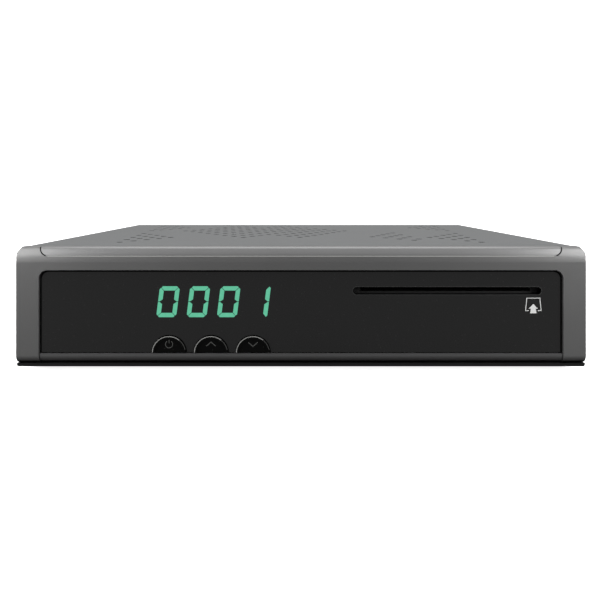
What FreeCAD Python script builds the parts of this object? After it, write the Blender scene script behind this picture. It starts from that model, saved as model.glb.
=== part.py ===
import FreeCAD, Part
import math
import os
import re
import Sketcher

# A satellite television receiver: steel cabinet, moulded front, inner boards and rear sockets.
# Width lies along X, depth along Y with the front at minus Y, height along Z from the ground.
# Depths are counted backwards from the front plane of the bezel. All lengths are in millimetres.

SIZES = {
    # whole cabinet
    "bezel_width": 182,
    "bezel_height": 38.4,
    "body_depth": 128,
    "connector_reach": 12,
    "ground_gap": 2,
    # folded sheet steel
    "sheet_gauge": 0.8,
    "floor_rise": 0.4,
    "cover_inset": 0.3,
    "cover_drop": 0.2,
    "bend_radius": 1.4,
    "seam_gap": 0.25,
    "slip_gap": 0.1,
    "skirt_gap": 1.4,
    "rear_lip": 8,
    "side_flange": 10,
    # bezel moulding
    "shell_depth": 4.5,
    "collar_depth": 7.5,
    "collar_wall": 2,
    "collar_gap": 0.3,
    "crown_height": 2.9,
    "crown_depth": 1.2,
    "crown_radius": 10,
    "brow_radius": 1.2,
    "foot_roll": 2.5,
    "side_roll": 0.5,
    "lip_setback": 0.6,
    "lip_height": 1.1,
    "lip_round": 0.6,
    "corner_cut": 2.2,
    "corner_cut_across": 1.5,
    "top_rail": 7.4,
    "cheek_width": 7.4,
    "window_corner": 2.7,
    "trim_height": 3,
    "trim_roll": 2.7,
    "fit_gap": 0.15,
    # glossy front panel and the bar below it
    "panel_recess": 0.8,
    "panel_thickness": 2,
    "bar_height": 3.4,
    "bar_recess": 0.3,
    "bar_roll": 2.3,
    # card slot
    "slot_width": 59.7,
    "slot_height": 2,
    "slot_inset": 44.2,
    "slot_drop": 14.1,
    "slot_bevel": 0.35,
    # push buttons
    "button_radius": 5.44,
    "button_pitch": 13.4,
    "button_offset": 44.25,
    "button_gap": 0.25,
    "button_proud": 0.6,
    "button_rim": 0.9,
    "button_dish": 0.35,
    "retainer_rim": 0.9,
    "retainer_thickness": 1,
    "opening_gap": 0.5,
    "stem_radius": 1.6,
    # switches under the buttons
    "switch_side": 6,
    "switch_height": 3.8,
    "switch_back": 0.8,
    "plunger_radius": 1.7,
    "plunger_length": 2.4,
    "plunger_rise": 1.2,
    "plunger_gap": 0.3,
    # display board with its digits and remote control eye
    "board_thickness": 1.6,
    "display_board_inset": 11,
    "display_board_gap": 5.5,
    "display_board_height": 31,
    "display_board_rise": 3.2,
    "display_offset": 43.2,
    "display_drop": 17.6,
    "display_width": 40.3,
    "display_height": 12.8,
    "display_thickness": 7,
    "eye_width": 6,
    "eye_height": 7,
    "eye_thickness": 4,
    "eye_dome": 2,
    "boss_radius": 2.6,
    "screw_radius": 1.4,
    "head_radius": 2.8,
    "head_height": 1.7,
    "display_boss_inset": 5,
    # ribbon between the two boards
    "ribbon_width": 12,
    "ribbon_latch": 3,
    "ribbon_thickness": 0.3,
    "ribbon_inset": 29,
    "ribbon_rise": 10,
    "ribbon_reach": 10,
    "ribbon_socket_height": 2.2,
    # main board
    "main_board_side_gap": 5,
    "main_board_front": 18,
    "main_board_gap": 0.6,
    "standoff_height": 5,
    "standoff_radius": 2.8,
    "standoff_inset": 4,
    # processor, heat sink and memory
    "processor_side": 27,
    "processor_height": 2.2,
    "sink_gap": 2.5,
    "processor_depth": 64,
    "sink_side": 36,
    "sink_base": 2.4,
    "sink_fin": 10,
    "fin_thickness": 1,
    "fin_count": 8,
    "memory_length": 13,
    "memory_width": 10,
    "memory_height": 1.2,
    "memory_pitch": 17,
    "memory_gap": 3,
    # round parts of the power section
    "capacitor_radius": 3.2,
    "capacitor_height": 11,
    "capacitor_roll": 0.64,
    "capacitor_pitch": 8.4,
    "capacitor_shift": 6,
    "capacitor_gap": 7,
    "coil_radius": 4.6,
    "coil_height": 5,
    "coil_bore": 1.6,
    "coil_floor": 1,
    "coil_pitch": 12,
    "coil_gap": 3,
    # tuner with its two aerial sockets
    "tuner_inset": 34,
    "tuner_width": 34,
    "tuner_depth": 42,
    "tuner_height": 19,
    "tuner_skin": 0.5,
    "aerial_pitch": 18,
    "aerial_radius": 4.76,
    "aerial_neck": 4.33,
    "aerial_bore": 3.1,
    "aerial_core": 0.6,
    "aerial_recess": 1.2,
    "aerial_nut": 6.35,
    "aerial_nut_height": 2.2,
    "aerial_washer": 7,
    "aerial_washer_height": 0.6,
    "panel_hole_gap": 0.35,
    # card reader and the bracket that carries it
    "card_width": 54,
    "card_gap": 0.6,
    "card_channel": 1.2,
    "reader_side": 3.7,
    "reader_length": 62,
    "reader_floor": 2.6,
    "reader_roof": 1,
    "reader_back": 3,
    "reader_lid": 0.5,
    "contact_width": 1.2,
    "contact_length": 8,
    "contact_pitch": 2.54,
    "contact_rise": 0.3,
    "contact_sink": 0.6,
    "contact_depth": 30,
    "contact_row_pitch": 10,
    "bracket_setback": 27,
    "bracket_leg": 8,
    "bracket_tab": 7,
    # sockets in the rear panel
    "sound_gap": 6,
    "sound_side": 8,
    "sound_length": 12,
    "sound_collar": 3.6,
    "sound_bore": 1.8,
    "sound_reach": 1,
    "sound_floor": 1,
    "optical_side": 10.2,
    "optical_length": 13.5,
    "optical_mouth": 8.4,
    "optical_cavity": 11.4,
    "shutter_setback": 3.5,
    "shutter_thickness": 0.6,
    "shutter_gap": 0.3,
    "hinge_radius": 0.45,
    "hinge_seat": 0.8,
    "hinge_gap": 0.2,
    "emitter_radius": 1.6,
    "emitter_length": 1.6,
    "emitter_gap": 0.5,
    "video_width": 15,
    "video_height": 5.6,
    "video_length": 11.5,
    "video_skin": 0.4,
    "video_chamfer": 1.4,
    "video_tongue": 12,
    "video_tongue_height": 1.1,
    "video_tongue_rise": 3.08,
    "tongue_setback": 1,
    "usb_width": 13.2,
    "usb_height": 5.8,
    "usb_length": 14,
    "usb_skin": 0.35,
    "usb_tongue": 11,
    "usb_tongue_height": 1.9,
    "usb_tongue_rise": 3.94,
    "network_width": 16,
    "network_height": 13.5,
    "network_length": 21,
    "network_mouth": 11.8,
    "network_mouth_height": 7.2,
    "network_latch": 6,
    "network_latch_height": 3,
    "network_cavity": 13,
    "network_foot": 1.5,
    "wire_pitch": 1.02,
    "wire_width": 0.4,
    "wire_length": 8,
    "wire_height": 0.6,
    "power_inset": 21,
    "power_width": 9,
    "power_height": 11,
    "power_length": 14,
    "power_bore": 2.9,
    "power_cavity": 9.5,
    "power_pin": 1,
    "flush_reach": 0.6,
    # feet and fasteners
    "foot_radius": 6,
    "foot_waist": 5.2,
    "foot_inset": 13,
    "foot_setback": 14,
    "cover_screw_drop": 4,
    "cover_screw_inset": 23,
    "bezel_screw_inset": 31,
    "screw_length": 6,
    "rear_tab_length": 7,
    "rear_tab_inset": 31,
    "rear_screw_inset": 46,
    "sheet_screw_length": 4,
    "bore_floor": 0.5,
    # how far a cutting tool runs past a face
    "past": 1,
    # ventilation holes punched in the cover
    "vent_radius": 1.25,
    "vent_column": 3.7,
    "vent_row": 5.25,
    "vent_front_inset": 25.1,
    "vent_side_lean": 4.7,
    "vent_side_count": 5,
    "vent_front_depth": 40.2,
    "vent_back_inset": 20,
    "vent_back_depth": 100,
    "vent_centre_lean": -7.5,
    "vent_centre_tips": 6,
    "vent_centre_rows": 7,
    "vent_centre_offset": -27.1,
    "vent_centre_depth": 77.2,
    "vent_patch_offset": 29,
    "vent_patch_depth": 43,
    "vent_patch_count": 5,
    "vent_patch_strokes": 4,
}

doc = FreeCAD.newDocument("satellite_receiver")
sheet = doc.addObject("Spreadsheet::Sheet", "Sizes")
for row, (alias, length) in enumerate(SIZES.items(), start=1):
    sheet.set(f"A{row}", alias)
    sheet.set(f"B{row}", str(length))
    sheet.setAlias(f"B{row}", alias)
doc.recompute()

ALIASES = re.compile(r"\b(" + "|".join(SIZES) + r")\b")
AXES = {"x": FreeCAD.Vector(1, 0, 0), "y": FreeCAD.Vector(0, 1, 0), "z": FreeCAD.Vector(0, 0, 1)}
TURNS = {
    "x": FreeCAD.Rotation(FreeCAD.Vector(0, 1, 0), 90),
    "y": FreeCAD.Rotation(FreeCAD.Vector(1, 0, 0), -90),
    "z": FreeCAD.Rotation(),
}
NODES = []
NEAR = 0.0001  # what counts as the same place, in millimetres


def bound(expression):
    """The expression with every driving dimension read from the sheet."""
    return ALIASES.sub(r"Sizes.\1", str(expression))


def value(expression):
    """The number that an expression of driving dimensions has now."""
    return float(sheet.evalExpression(bound(expression)))


def place(piece, x, y, z):
    """Bind where a piece lies."""
    for axis, expression in zip("xyz", (x, y, z)):
        piece.setExpression(f"Placement.Base.{axis}", bound(expression))


def middle(centre, width):
    """The span of a width about a centre."""
    return f"({centre}) - ({width}) / 2", f"({centre}) + ({width}) / 2"


def box(x, y, z):
    """A block given by where it starts and ends along each axis."""
    piece = doc.addObject("Part::Box", "Block")
    for side, (start, end) in zip(("Length", "Width", "Height"), (x, y, z)):
        piece.setExpression(side, bound(f"({end}) - ({start})"))
    place(piece, x[0], y[0], z[0])
    return piece


def cylinder(axis, radius, x, y, z):
    """A round bar along one axis, which has a start and an end; the other two have a centre."""
    piece = doc.addObject("Part::Cylinder", "Bar")
    piece.Placement = FreeCAD.Placement(FreeCAD.Vector(), TURNS[axis])
    start, end = {"x": x, "y": y, "z": z}[axis]
    piece.setExpression("Radius", bound(radius))
    piece.setExpression("Height", bound(f"({end}) - ({start})"))
    place(piece, *[start if name == axis else at for name, at in zip("xyz", (x, y, z))])
    return piece


def hexagon(axis, across, x, y, z):
    """A six-sided bar along one axis, measured from its centre to its corners."""
    piece = doc.addObject("Part::Prism", "Hexagon")
    piece.Placement = FreeCAD.Placement(FreeCAD.Vector(), TURNS[axis])
    start, end = {"x": x, "y": y, "z": z}[axis]
    piece.Polygon = 6
    piece.setExpression("Circumradius", bound(across))
    piece.setExpression("Height", bound(f"({end}) - ({start})"))
    place(piece, *[start if name == axis else at for name, at in zip("xyz", (x, y, z))])
    return piece


def fuse(*pieces):
    """Several pieces grown together."""
    if len(pieces) == 1:
        return pieces[0]
    joined = doc.addObject("Part::MultiFuse", "Joined")
    joined.Shapes = list(pieces)
    joined.Refine = True
    return joined


def cut(base, *tools):
    """A piece with the tools taken out of it."""
    remains = doc.addObject("Part::Cut", "Remains")
    remains.Base = base
    remains.Tool = fuse(*tools)
    return remains


def overlap(first, second):
    """What two pieces share."""
    shared = doc.addObject("Part::Common", "Shared")
    shared.Base = first
    shared.Tool = second
    return shared


def group(*pieces):
    """Like pieces that stay separate solids of one node."""
    together = doc.addObject("Part::Compound", "Group")
    together.Links = list(pieces)
    return together


def edges_at(shape, along, sides):
    """Names of the straight edges along an axis that lie at the given sides of the shape."""
    limits = shape.BoundBox
    names = []
    for number, edge in enumerate(shape.Edges, start=1):
        start, end = edge.Vertexes[0].Point, edge.Vertexes[-1].Point
        span = end - start
        if span.Length < NEAR or abs(abs(span.normalize() * AXES[along]) - 1) > NEAR:
            continue
        centre = (start + end) / 2
        at_side = True
        for sign, axis in zip(sides[0::2], sides[1::2]):
            limit = getattr(limits, axis.upper() + ("Max" if sign == "+" else "Min"))
            at_side = at_side and abs(getattr(centre, axis) - limit) < NEAR
        if at_side:
            names.append(f"Edge{number}")
    return names


def soft_block(x, y, z, *rounds):
    """A block with some edges rounded; each round has a radius, an axis and its sides."""
    body = doc.addObject("PartDesign::Body", "SoftBlock")
    solid = body.newObject("PartDesign::AdditiveBox", "Block")
    for side, (start, end) in zip(("Length", "Width", "Height"), (x, y, z)):
        solid.setExpression(side, bound(f"({end}) - ({start})"))
    place(solid, x[0], y[0], z[0])
    doc.recompute()
    for radius, along, sides in rounds:
        fillet = body.newObject("PartDesign::Fillet", "Round")
        fillet.Base = (solid, edges_at(solid.Shape, along, sides))
        fillet.setExpression("Radius", bound(radius))
        doc.recompute()
        solid = fillet
    body.Tip = solid
    return body


def outline(body, role, offset, corners):
    """A closed outline on one of the body's own planes, with every corner bound."""
    drawing = body.newObject("Sketcher::SketchObject", "Outline")
    datum = next(plane for plane in body.Origin.OriginFeatures if plane.Role == role)
    drawing.AttachmentSupport = [(datum, "")]
    drawing.MapMode = "FlatFace"
    drawing.setExpression("AttachmentOffset.Base.z", bound(offset))
    points = [FreeCAD.Vector(value(across), value(up), 0) for across, up in corners]
    for start, end in zip(points, points[1:] + points[:1]):
        drawing.addGeometry(Part.LineSegment(start, end))
    for line in range(len(points)):
        drawing.addConstraint(Sketcher.Constraint("Coincident", line, 2, (line + 1) % len(points), 1))
    for line, (across, up) in enumerate(corners):
        for kind, expression in (("DistanceX", across), ("DistanceY", up)):
            number = drawing.addConstraint(
                Sketcher.Constraint(kind, -1, 1, line, 1, value(expression)))
            drawing.setExpression(f"Constraints[{number}]", bound(expression))
    return drawing


def pad(body, drawing, length, reverse=False, both_ways=False):
    """Grow an outline into the body."""
    feature = body.newObject("PartDesign::Pad", "Pad")
    feature.Profile = drawing
    feature.setExpression("Length", bound(length))
    feature.Reversed = reverse
    feature.Midplane = both_ways
    doc.recompute()
    return feature


def node(label, piece):
    """Give a finished piece its name and keep it for export."""
    piece.Label = label
    NODES.append(piece)
    return piece


# Places that several pieces share, as expressions of the driving dimensions.
FRONT = "(0 - (body_depth + connector_reach) / 2)"
BOTTOM = "ground_gap"
TOP = "(ground_gap + bezel_height)"
UNDERSIDE = "(ground_gap + floor_rise)"
FLOOR = f"({UNDERSIDE} + sheet_gauge)"
COVER_HALF = "(bezel_width / 2 - cover_inset)"
COVER_TOP = f"({TOP} - cover_drop)"
INNER_HALF = f"({COVER_HALF} - sheet_gauge - slip_gap)"
INNER_TOP = f"({COVER_TOP} - sheet_gauge - slip_gap)"
WINDOW_HALF = "(bezel_width / 2 - cheek_width)"
SLOT_X = "(bezel_width / 2 - slot_inset)"
RIBBON_X = "(ribbon_inset - bezel_width / 2)"
TUNER_X = "(tuner_inset - bezel_width / 2)"
POWER_X = "(bezel_width / 2 - power_inset)"
SOUND_X = f"({TUNER_X} + tuner_width / 2 + sound_gap + sound_side / 2)"
SOCKET_PITCH = f"(({POWER_X} - {SOUND_X}) / 5)"
OPTICAL_X = f"({SOUND_X} + {SOCKET_PITCH})"
VIDEO_X = f"({SOUND_X} + 2 * {SOCKET_PITCH})"
USB_X = f"({SOUND_X} + 3 * {SOCKET_PITCH})"
NETWORK_X = f"({SOUND_X} + 4 * {SOCKET_PITCH})"
READER_HALF = "(card_width / 2 + card_gap + reader_side)"
READER_LEFT = f"({SLOT_X} - {READER_HALF})"
DISPLAY_BOARD_LEFT = "(display_board_inset - bezel_width / 2)"
DISPLAY_BOARD_RIGHT = f"({READER_LEFT} - display_board_gap)"
BUTTON_X = f"({READER_LEFT} - button_offset)"
DISPLAY_X = f"({READER_LEFT} - display_offset)"
EYE_LEFT = f"({DISPLAY_BOARD_LEFT} + display_boss_inset + boss_radius)"
EYE_X = f"(({EYE_LEFT} + {DISPLAY_X} - display_width / 2) / 2)"
PROCESSOR_X = f"({READER_LEFT} - bracket_tab - sink_gap - sink_side / 2)"
MEMORY_X = f"({PROCESSOR_X} - sink_side / 2 - memory_gap - memory_width / 2)"
CAPACITOR_X = f"({NETWORK_X} - capacitor_shift)"
SEAM = "(shell_depth + seam_gap)"
WALL_BACK = "(body_depth - sheet_gauge - slip_gap)"
WALL_FRONT = f"({WALL_BACK} - sheet_gauge)"
WINDOW_FLOOR = f"({BOTTOM} + lip_height)"
WINDOW_TOP = f"({TOP} - top_rail)"
PANEL_FOOT = f"({WINDOW_FLOOR} + bar_height)"
PANEL_BACK = "(panel_recess + panel_thickness)"
POCKET = f"({PANEL_BACK} + fit_gap)"
COLLAR_BACK = "(shell_depth + collar_depth)"
SLOT_HEIGHT_AT = f"({TOP} - slot_drop)"
BUTTON_FOOT = f"({PANEL_FOOT} + button_gap)"
BUTTON_FRONT = "(panel_recess - button_proud)"
RETAINER_FRONT = f"({PANEL_BACK} + button_gap)"
RETAINER_BACK = f"({RETAINER_FRONT} + retainer_thickness)"
DISPLAY_BOARD = f"({COLLAR_BACK} + slip_gap)"
SWITCH_FRONT = f"({DISPLAY_BOARD} - switch_height)"
PLUNGER_FRONT = f"({SWITCH_FRONT} - plunger_rise)"
DISPLAY_AT = f"({TOP} - display_drop)"
BOARD_UNDER = f"({FLOOR} + standoff_height)"
BOARD_TOP = f"({BOARD_UNDER} + board_thickness)"
BOARD_HALF = f"({INNER_HALF} - sheet_gauge - main_board_side_gap)"
BOARD_BACK = f"({WALL_FRONT} - main_board_gap)"
FLUSH = f"({WALL_BACK} + flush_reach)"
CAPACITOR_DEPTH = f"({FLUSH} - network_length - capacitor_gap - capacitor_radius - capacitor_pitch)"
COIL_DEPTH = f"({CAPACITOR_DEPTH} - capacitor_radius - coil_gap - coil_radius)"


def depth(expression):
    """A place counted backwards from the front plane, in the frame's own Y."""
    return f"({FRONT} + {expression})"


def deep(start, end):
    """A span of depths in the frame's own Y."""
    return depth(start), depth(end)


BUTTON_PLACES = {
    "power": f"({BUTTON_X} - button_pitch)",
    "channel_up": BUTTON_X,
    "channel_down": f"({BUTTON_X} + button_pitch)",
}


def rounded_slot(grow, start, end):
    """The card slot's outline, grown all round, as a bar between two depths."""
    half = f"(slot_height / 2 + {grow})"
    reach = "(slot_width / 2 - slot_height / 2)"
    ends = [f"({SLOT_X} - {reach})", f"({SLOT_X} + {reach})"]
    bars = [cylinder("y", half, at, deep(start, end), SLOT_HEIGHT_AT) for at in ends]
    span = (f"{SLOT_HEIGHT_AT} - {half}", f"{SLOT_HEIGHT_AT} + {half}")
    return fuse(box((ends[0], ends[1]), deep(start, end), span), *bars)


def half_disc(radius, centre, start, end):
    """The upper half of a disc that stands on the front panel's bottom edge."""
    disc = cylinder("y", radius, centre, deep(start, end), PANEL_FOOT)
    keep = box(middle(centre, f"3 * {radius}"), deep(f"{start} - past", f"{end} + past"),
               (BUTTON_FOOT, f"{PANEL_FOOT} + 2 * {radius}"))
    return overlap(disc, keep)


# Positions of the screws that hold the display board and the bezel.
DISPLAY_BOSSES = [
    (f"({side})", f"({level})")
    for side in (f"{DISPLAY_BOARD_LEFT} + display_boss_inset", f"{DISPLAY_BOARD_RIGHT} - display_boss_inset")
    for level in (f"{BOTTOM} + display_board_rise + display_boss_inset",
                  f"{BOTTOM} + display_board_rise + display_board_height - display_boss_inset")
]
BEZEL_SCREW_DEPTH = "(shell_depth + collar_depth / 2)"
BEZEL_SCREWS = ["(bezel_screw_inset - bezel_width / 2)", "0", "(bezel_width / 2 - bezel_screw_inset)"]


def long_edges(shape, y, z):
    """Names of the edges that run across the front at one depth and height."""
    return [f"Edge{number}" for number, edge in enumerate(shape.Edges, start=1)
            if edge.BoundBox.XLength > value("bezel_width / 2")
            and abs(edge.CenterOfMass.y - value(y)) < NEAR
            and abs(edge.CenterOfMass.z - value(z)) < NEAR]


def front_bar():
    """A full-width bar with the bezel's section: crowned top, rolled foot and softened sides."""
    body = doc.addObject("PartDesign::Body", "FrontBar")
    crown = (depth("0"), f"{TOP} - crown_height")
    brow = (depth("crown_depth"), TOP)
    foot = (depth("0"), WINDOW_FLOOR)
    profile = outline(body, "YZ_Plane", "0", [
        foot, crown, brow, (depth("shell_depth"), TOP), (depth("shell_depth"), WINDOW_FLOOR)])
    solid = pad(body, profile, "bezel_width", both_ways=True)
    rolls = (("crown_radius", crown), ("brow_radius", brow), ("foot_roll", foot), ("side_roll", None))
    for radius, corner in rolls:
        fillet = body.newObject("PartDesign::Fillet", "Roll")
        names = long_edges(solid.Shape, *corner) if corner else edges_at(solid.Shape, "z", "-y")
        fillet.Base = (solid, names)
        fillet.setExpression("Radius", bound(radius))
        doc.recompute()
        solid = fillet
    body.Tip = solid
    return body


def bezel_shell():
    """The visible moulding: the front bar with the low lip under it."""
    lip = soft_block(("0 - bezel_width / 2", "bezel_width / 2"), deep("lip_setback", "shell_depth"),
                     (BOTTOM, WINDOW_FLOOR), ("side_roll", "z", "-y"), ("lip_round", "y", "-z"))
    return fuse(front_bar(), lip)


def corner_wedge(side):
    """The wedge taken off one top corner of the bezel."""
    body = doc.addObject("PartDesign::Body", "CornerWedge")
    edge = f"{side} * bezel_width / 2"
    profile = outline(body, "XZ_Plane", f"0 - {depth('shell_depth + 1')}", [
        (f"{edge} - {side} * corner_cut_across", f"{TOP} + past"),
        (f"{edge} - {side} * corner_cut_across", TOP),
        (edge, f"{TOP} - corner_cut"),
        (f"{edge} + {side} * past", f"{TOP} - corner_cut"),
        (f"{edge} + {side} * past", f"{TOP} + past"),
    ])
    body.Tip = pad(body, profile, "shell_depth + 2 * past")
    return body


def bezel_frame():
    """The front moulding with its collar, window pocket, openings and screw bosses."""
    collar = box((f"0 - {INNER_HALF} + collar_gap", f"{INNER_HALF} - collar_gap"),
                 deep("shell_depth", COLLAR_BACK),
                 (f"{FLOOR} + slip_gap", f"{INNER_TOP} - collar_gap"))
    hollow = box((f"0 - {INNER_HALF} + collar_gap + collar_wall",
                  f"{INNER_HALF} - collar_gap - collar_wall"),
                 deep("shell_depth", f"{COLLAR_BACK} + past"),
                 (f"{FLOOR} + slip_gap + collar_wall", f"{INNER_TOP} - collar_gap - collar_wall"))
    ring = cut(collar, hollow)
    window = soft_block(middle("0", f"2 * {WINDOW_HALF}"), deep("0 - past", POCKET),
                        (WINDOW_FLOOR, WINDOW_TOP), ("window_corner", "y", "+z"))
    recess = soft_block(middle("0", f"2 * {WINDOW_HALF}"), deep("0 - past", "shell_depth"),
                        (f"{TOP} - trim_height", f"{TOP} + trim_height"), ("trim_roll", "y", "-z"))
    display = box(middle(DISPLAY_X, "display_width + 2 * opening_gap"), deep("0", "shell_depth + past"),
                  middle(DISPLAY_AT, "display_height + 2 * opening_gap"))
    buttons = box(middle(BUTTON_X, "2 * (button_pitch + button_radius + retainer_rim + opening_gap)"),
                  deep("0", "shell_depth + past"),
                  (f"{PANEL_FOOT} - opening_gap",
                   f"{PANEL_FOOT} + button_radius + retainer_rim + opening_gap"))
    card = box(middle(SLOT_X, "card_width + 2 * card_gap + 2 * reader_side + 2 * opening_gap"),
               deep("0", "shell_depth + past"),
               (f"{SLOT_HEIGHT_AT} - card_channel / 2 - reader_floor - opening_gap",
                f"{SLOT_HEIGHT_AT} + card_channel / 2 + reader_roof + reader_lid + opening_gap"))
    eye = cylinder("y", "eye_dome + opening_gap", EYE_X, deep("0", "shell_depth + past"), DISPLAY_AT)
    frame = fuse(cut(bezel_shell(), corner_wedge(-1), corner_wedge(1), window, recess), ring)
    bosses = [cylinder("y", "boss_radius", x, deep("shell_depth", COLLAR_BACK), z)
              for x, z in DISPLAY_BOSSES]
    posts = [cylinder("z", "boss_radius", x, depth(BEZEL_SCREW_DEPTH),
                      (f"{FLOOR} + slip_gap", f"{FLOOR} + slip_gap + screw_length"))
             for x in BEZEL_SCREWS]
    bores = [cylinder("y", "screw_radius", x, deep("shell_depth", f"{COLLAR_BACK} + past"), z)
             for x, z in DISPLAY_BOSSES]
    bores += [cylinder("z", "screw_radius", x, depth(BEZEL_SCREW_DEPTH),
                       (f"{FLOOR} - past", f"{FLOOR} + screw_length - bore_floor")) for x in BEZEL_SCREWS]
    return cut(fuse(frame, *bosses, *posts), display, buttons, card, eye, *bores)


def top_trim_strip():
    """The strip let into the bezel's top edge, flush with its crown."""
    strip = soft_block(middle("0", f"2 * ({WINDOW_HALF} - fit_gap)"),
                       deep("0 - past", "shell_depth - fit_gap"),
                       (f"{TOP} - trim_height + fit_gap", f"{TOP} + past"),
                       ("trim_roll - fit_gap", "y", "-z"))
    return overlap(front_bar(), strip)


def front_panel():
    """The glossy panel with the card slot, its bevelled rim and three half-disc openings."""
    plate = soft_block(middle("0", f"2 * ({WINDOW_HALF} - fit_gap)"), deep("panel_recess", PANEL_BACK),
                       (f"{PANEL_FOOT} + fit_gap", f"{WINDOW_TOP} - fit_gap"),
                       ("window_corner - fit_gap", "y", "+z"))
    slot = rounded_slot("0", "0", "shell_depth")
    bevel = rounded_slot("slot_bevel", "0", "panel_recess + slot_bevel")
    holes = [cylinder("y", "button_radius + button_gap", x, deep("0", "shell_depth"), PANEL_FOOT)
             for x in BUTTON_PLACES.values()]
    return cut(plate, slot, bevel, *holes)


def lower_trim_bar():
    """The rolled bar below the front panel."""
    return soft_block(middle("0", f"2 * ({WINDOW_HALF} - fit_gap)"), deep("bar_recess", PANEL_BACK),
                      (f"{WINDOW_FLOOR} + fit_gap", f"{PANEL_FOOT} - fit_gap"),
                      ("bar_roll", "x", "-y-z"))


def push_button(centre):
    """A half-disc button: raised rim, sunk face, retaining flange and stem."""
    cap = half_disc("button_radius", centre, BUTTON_FRONT, RETAINER_FRONT)
    dish = cylinder("y", "button_radius - button_rim", centre,
                    deep(f"{BUTTON_FRONT} - past", f"{BUTTON_FRONT} + button_dish"), PANEL_FOOT)
    flange = half_disc("(button_radius + retainer_rim)", centre, RETAINER_FRONT, RETAINER_BACK)
    stem = cylinder("y", "stem_radius", centre, deep(RETAINER_FRONT, PLUNGER_FRONT),
                    f"{PANEL_FOOT} + button_radius / 2")
    return fuse(cut(cap, dish), flange, stem)


def switch_plunger(centre):
    """The round plunger that a button's stem pushes into its switch."""
    return cylinder("y", "plunger_radius", centre,
                    deep(PLUNGER_FRONT, f"{PLUNGER_FRONT} + plunger_length"),
                    f"{PANEL_FOOT} + button_radius / 2")


def switch_base(centre):
    """The square case of one push switch, open round its plunger."""
    case = box(middle(centre, "switch_side"), deep(SWITCH_FRONT, DISPLAY_BOARD),
               middle(f"{PANEL_FOOT} + button_radius / 2", "switch_side"))
    bore = cylinder("y", "plunger_radius + plunger_gap", centre,
                    deep(f"{SWITCH_FRONT} - past", f"{DISPLAY_BOARD} - switch_back"),
                    f"{PANEL_FOOT} + button_radius / 2")
    return cut(case, bore)


def pan_screw(axis, head_at, sign, x, y, z, length="screw_length"):
    """A screw with a pan head; the head grows outwards and the shank goes the other way."""
    outer = f"{head_at} + ({sign}) * head_height"
    inner = f"{head_at} - ({sign}) * ({length})"
    spans = [(head_at, outer), (inner, head_at)]
    if sign < 0:
        spans = [(end, start) for start, end in spans]
    pieces = []
    for radius, span in zip(("head_radius", "screw_radius"), spans):
        where = {"x": x, "y": y, "z": z}
        where[axis] = span
        pieces.append(cylinder(axis, radius, where["x"], where["y"], where["z"]))
    return fuse(*pieces)


def display_board():
    """The upright board behind the bezel's left part."""
    board = box((DISPLAY_BOARD_LEFT, DISPLAY_BOARD_RIGHT),
                deep(DISPLAY_BOARD, f"{DISPLAY_BOARD} + board_thickness"),
                (f"{BOTTOM} + display_board_rise",
                 f"{BOTTOM} + display_board_rise + display_board_height"))
    holes = [cylinder("y", "screw_radius + slip_gap", x,
                      deep(f"{DISPLAY_BOARD} - past", f"{DISPLAY_BOARD} + board_thickness + past"), z)
             for x, z in DISPLAY_BOSSES]
    return cut(board, *holes)


def remote_eye():
    """The remote control receiver with its domed lens."""
    case = box(middle(EYE_X, "eye_width"), deep(f"{DISPLAY_BOARD} - eye_thickness", DISPLAY_BOARD),
               middle(DISPLAY_AT, "eye_height"))
    dome = doc.addObject("Part::Sphere", "Dome")
    dome.setExpression("Radius", bound("eye_dome"))
    place(dome, EYE_X, depth(f"{DISPLAY_BOARD} - eye_thickness"), DISPLAY_AT)
    return fuse(case, dome)


RIBBON_LEVEL = f"({BOARD_TOP} + ribbon_rise)"
RIBBON_START = f"({DISPLAY_BOARD} + board_thickness + ribbon_socket_height)"
RIBBON_END = f"({RIBBON_START} + ribbon_reach)"


def ribbon_sockets():
    """The two sockets that the ribbon plugs into."""
    upright = box(middle(RIBBON_X, "ribbon_width + ribbon_latch"),
                  deep(f"{DISPLAY_BOARD} + board_thickness", RIBBON_START),
                  middle(RIBBON_LEVEL, "2 * ribbon_socket_height"))
    flat = box(middle(RIBBON_X, "ribbon_width + ribbon_latch"),
               middle(depth(RIBBON_END), "2 * ribbon_socket_height"),
               (BOARD_TOP, f"{BOARD_TOP} + ribbon_socket_height"))
    return group(upright, flat)


def ribbon_cable():
    """The flat cable from the display board down to the main board."""
    bend = "4 * ribbon_thickness"
    over = soft_block(middle(RIBBON_X, "ribbon_width"),
                      deep(RIBBON_START, f"{RIBBON_END} + ribbon_thickness / 2"),
                      (f"{BOARD_TOP} + ribbon_socket_height", f"{RIBBON_LEVEL} + ribbon_thickness / 2"),
                      (bend, "x", "+y+z"))
    under = soft_block(middle(RIBBON_X, "ribbon_width + 2 * past"),
                       deep(f"{RIBBON_START} - past", f"{RIBBON_END} - ribbon_thickness / 2"),
                       (f"{BOARD_TOP}", f"{RIBBON_LEVEL} - ribbon_thickness / 2"),
                       (f"{bend} - ribbon_thickness", "x", "+y+z"))
    return cut(over, under)


STANDOFFS = [
    (f"({side} * ({BOARD_HALF} - standoff_inset))", f"({at})")
    for side in (-1, 1)
    for at in ("main_board_front + standoff_inset", f"{BOARD_BACK} - standoff_inset")
] + [(f"({READER_LEFT} + bracket_leg)", f"({BOARD_BACK} - 2 * standoff_inset - tuner_depth)")]


def main_board():
    """The main circuit board on its standoffs."""
    board = box(middle("0", f"2 * {BOARD_HALF}"), deep("main_board_front", BOARD_BACK),
                (BOARD_UNDER, BOARD_TOP))
    holes = [cylinder("z", "screw_radius + slip_gap", x, depth(y),
                      (f"{BOARD_UNDER} - past", f"{BOARD_TOP} + past"))
             for x, y in STANDOFFS]
    return cut(board, *holes)


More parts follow.
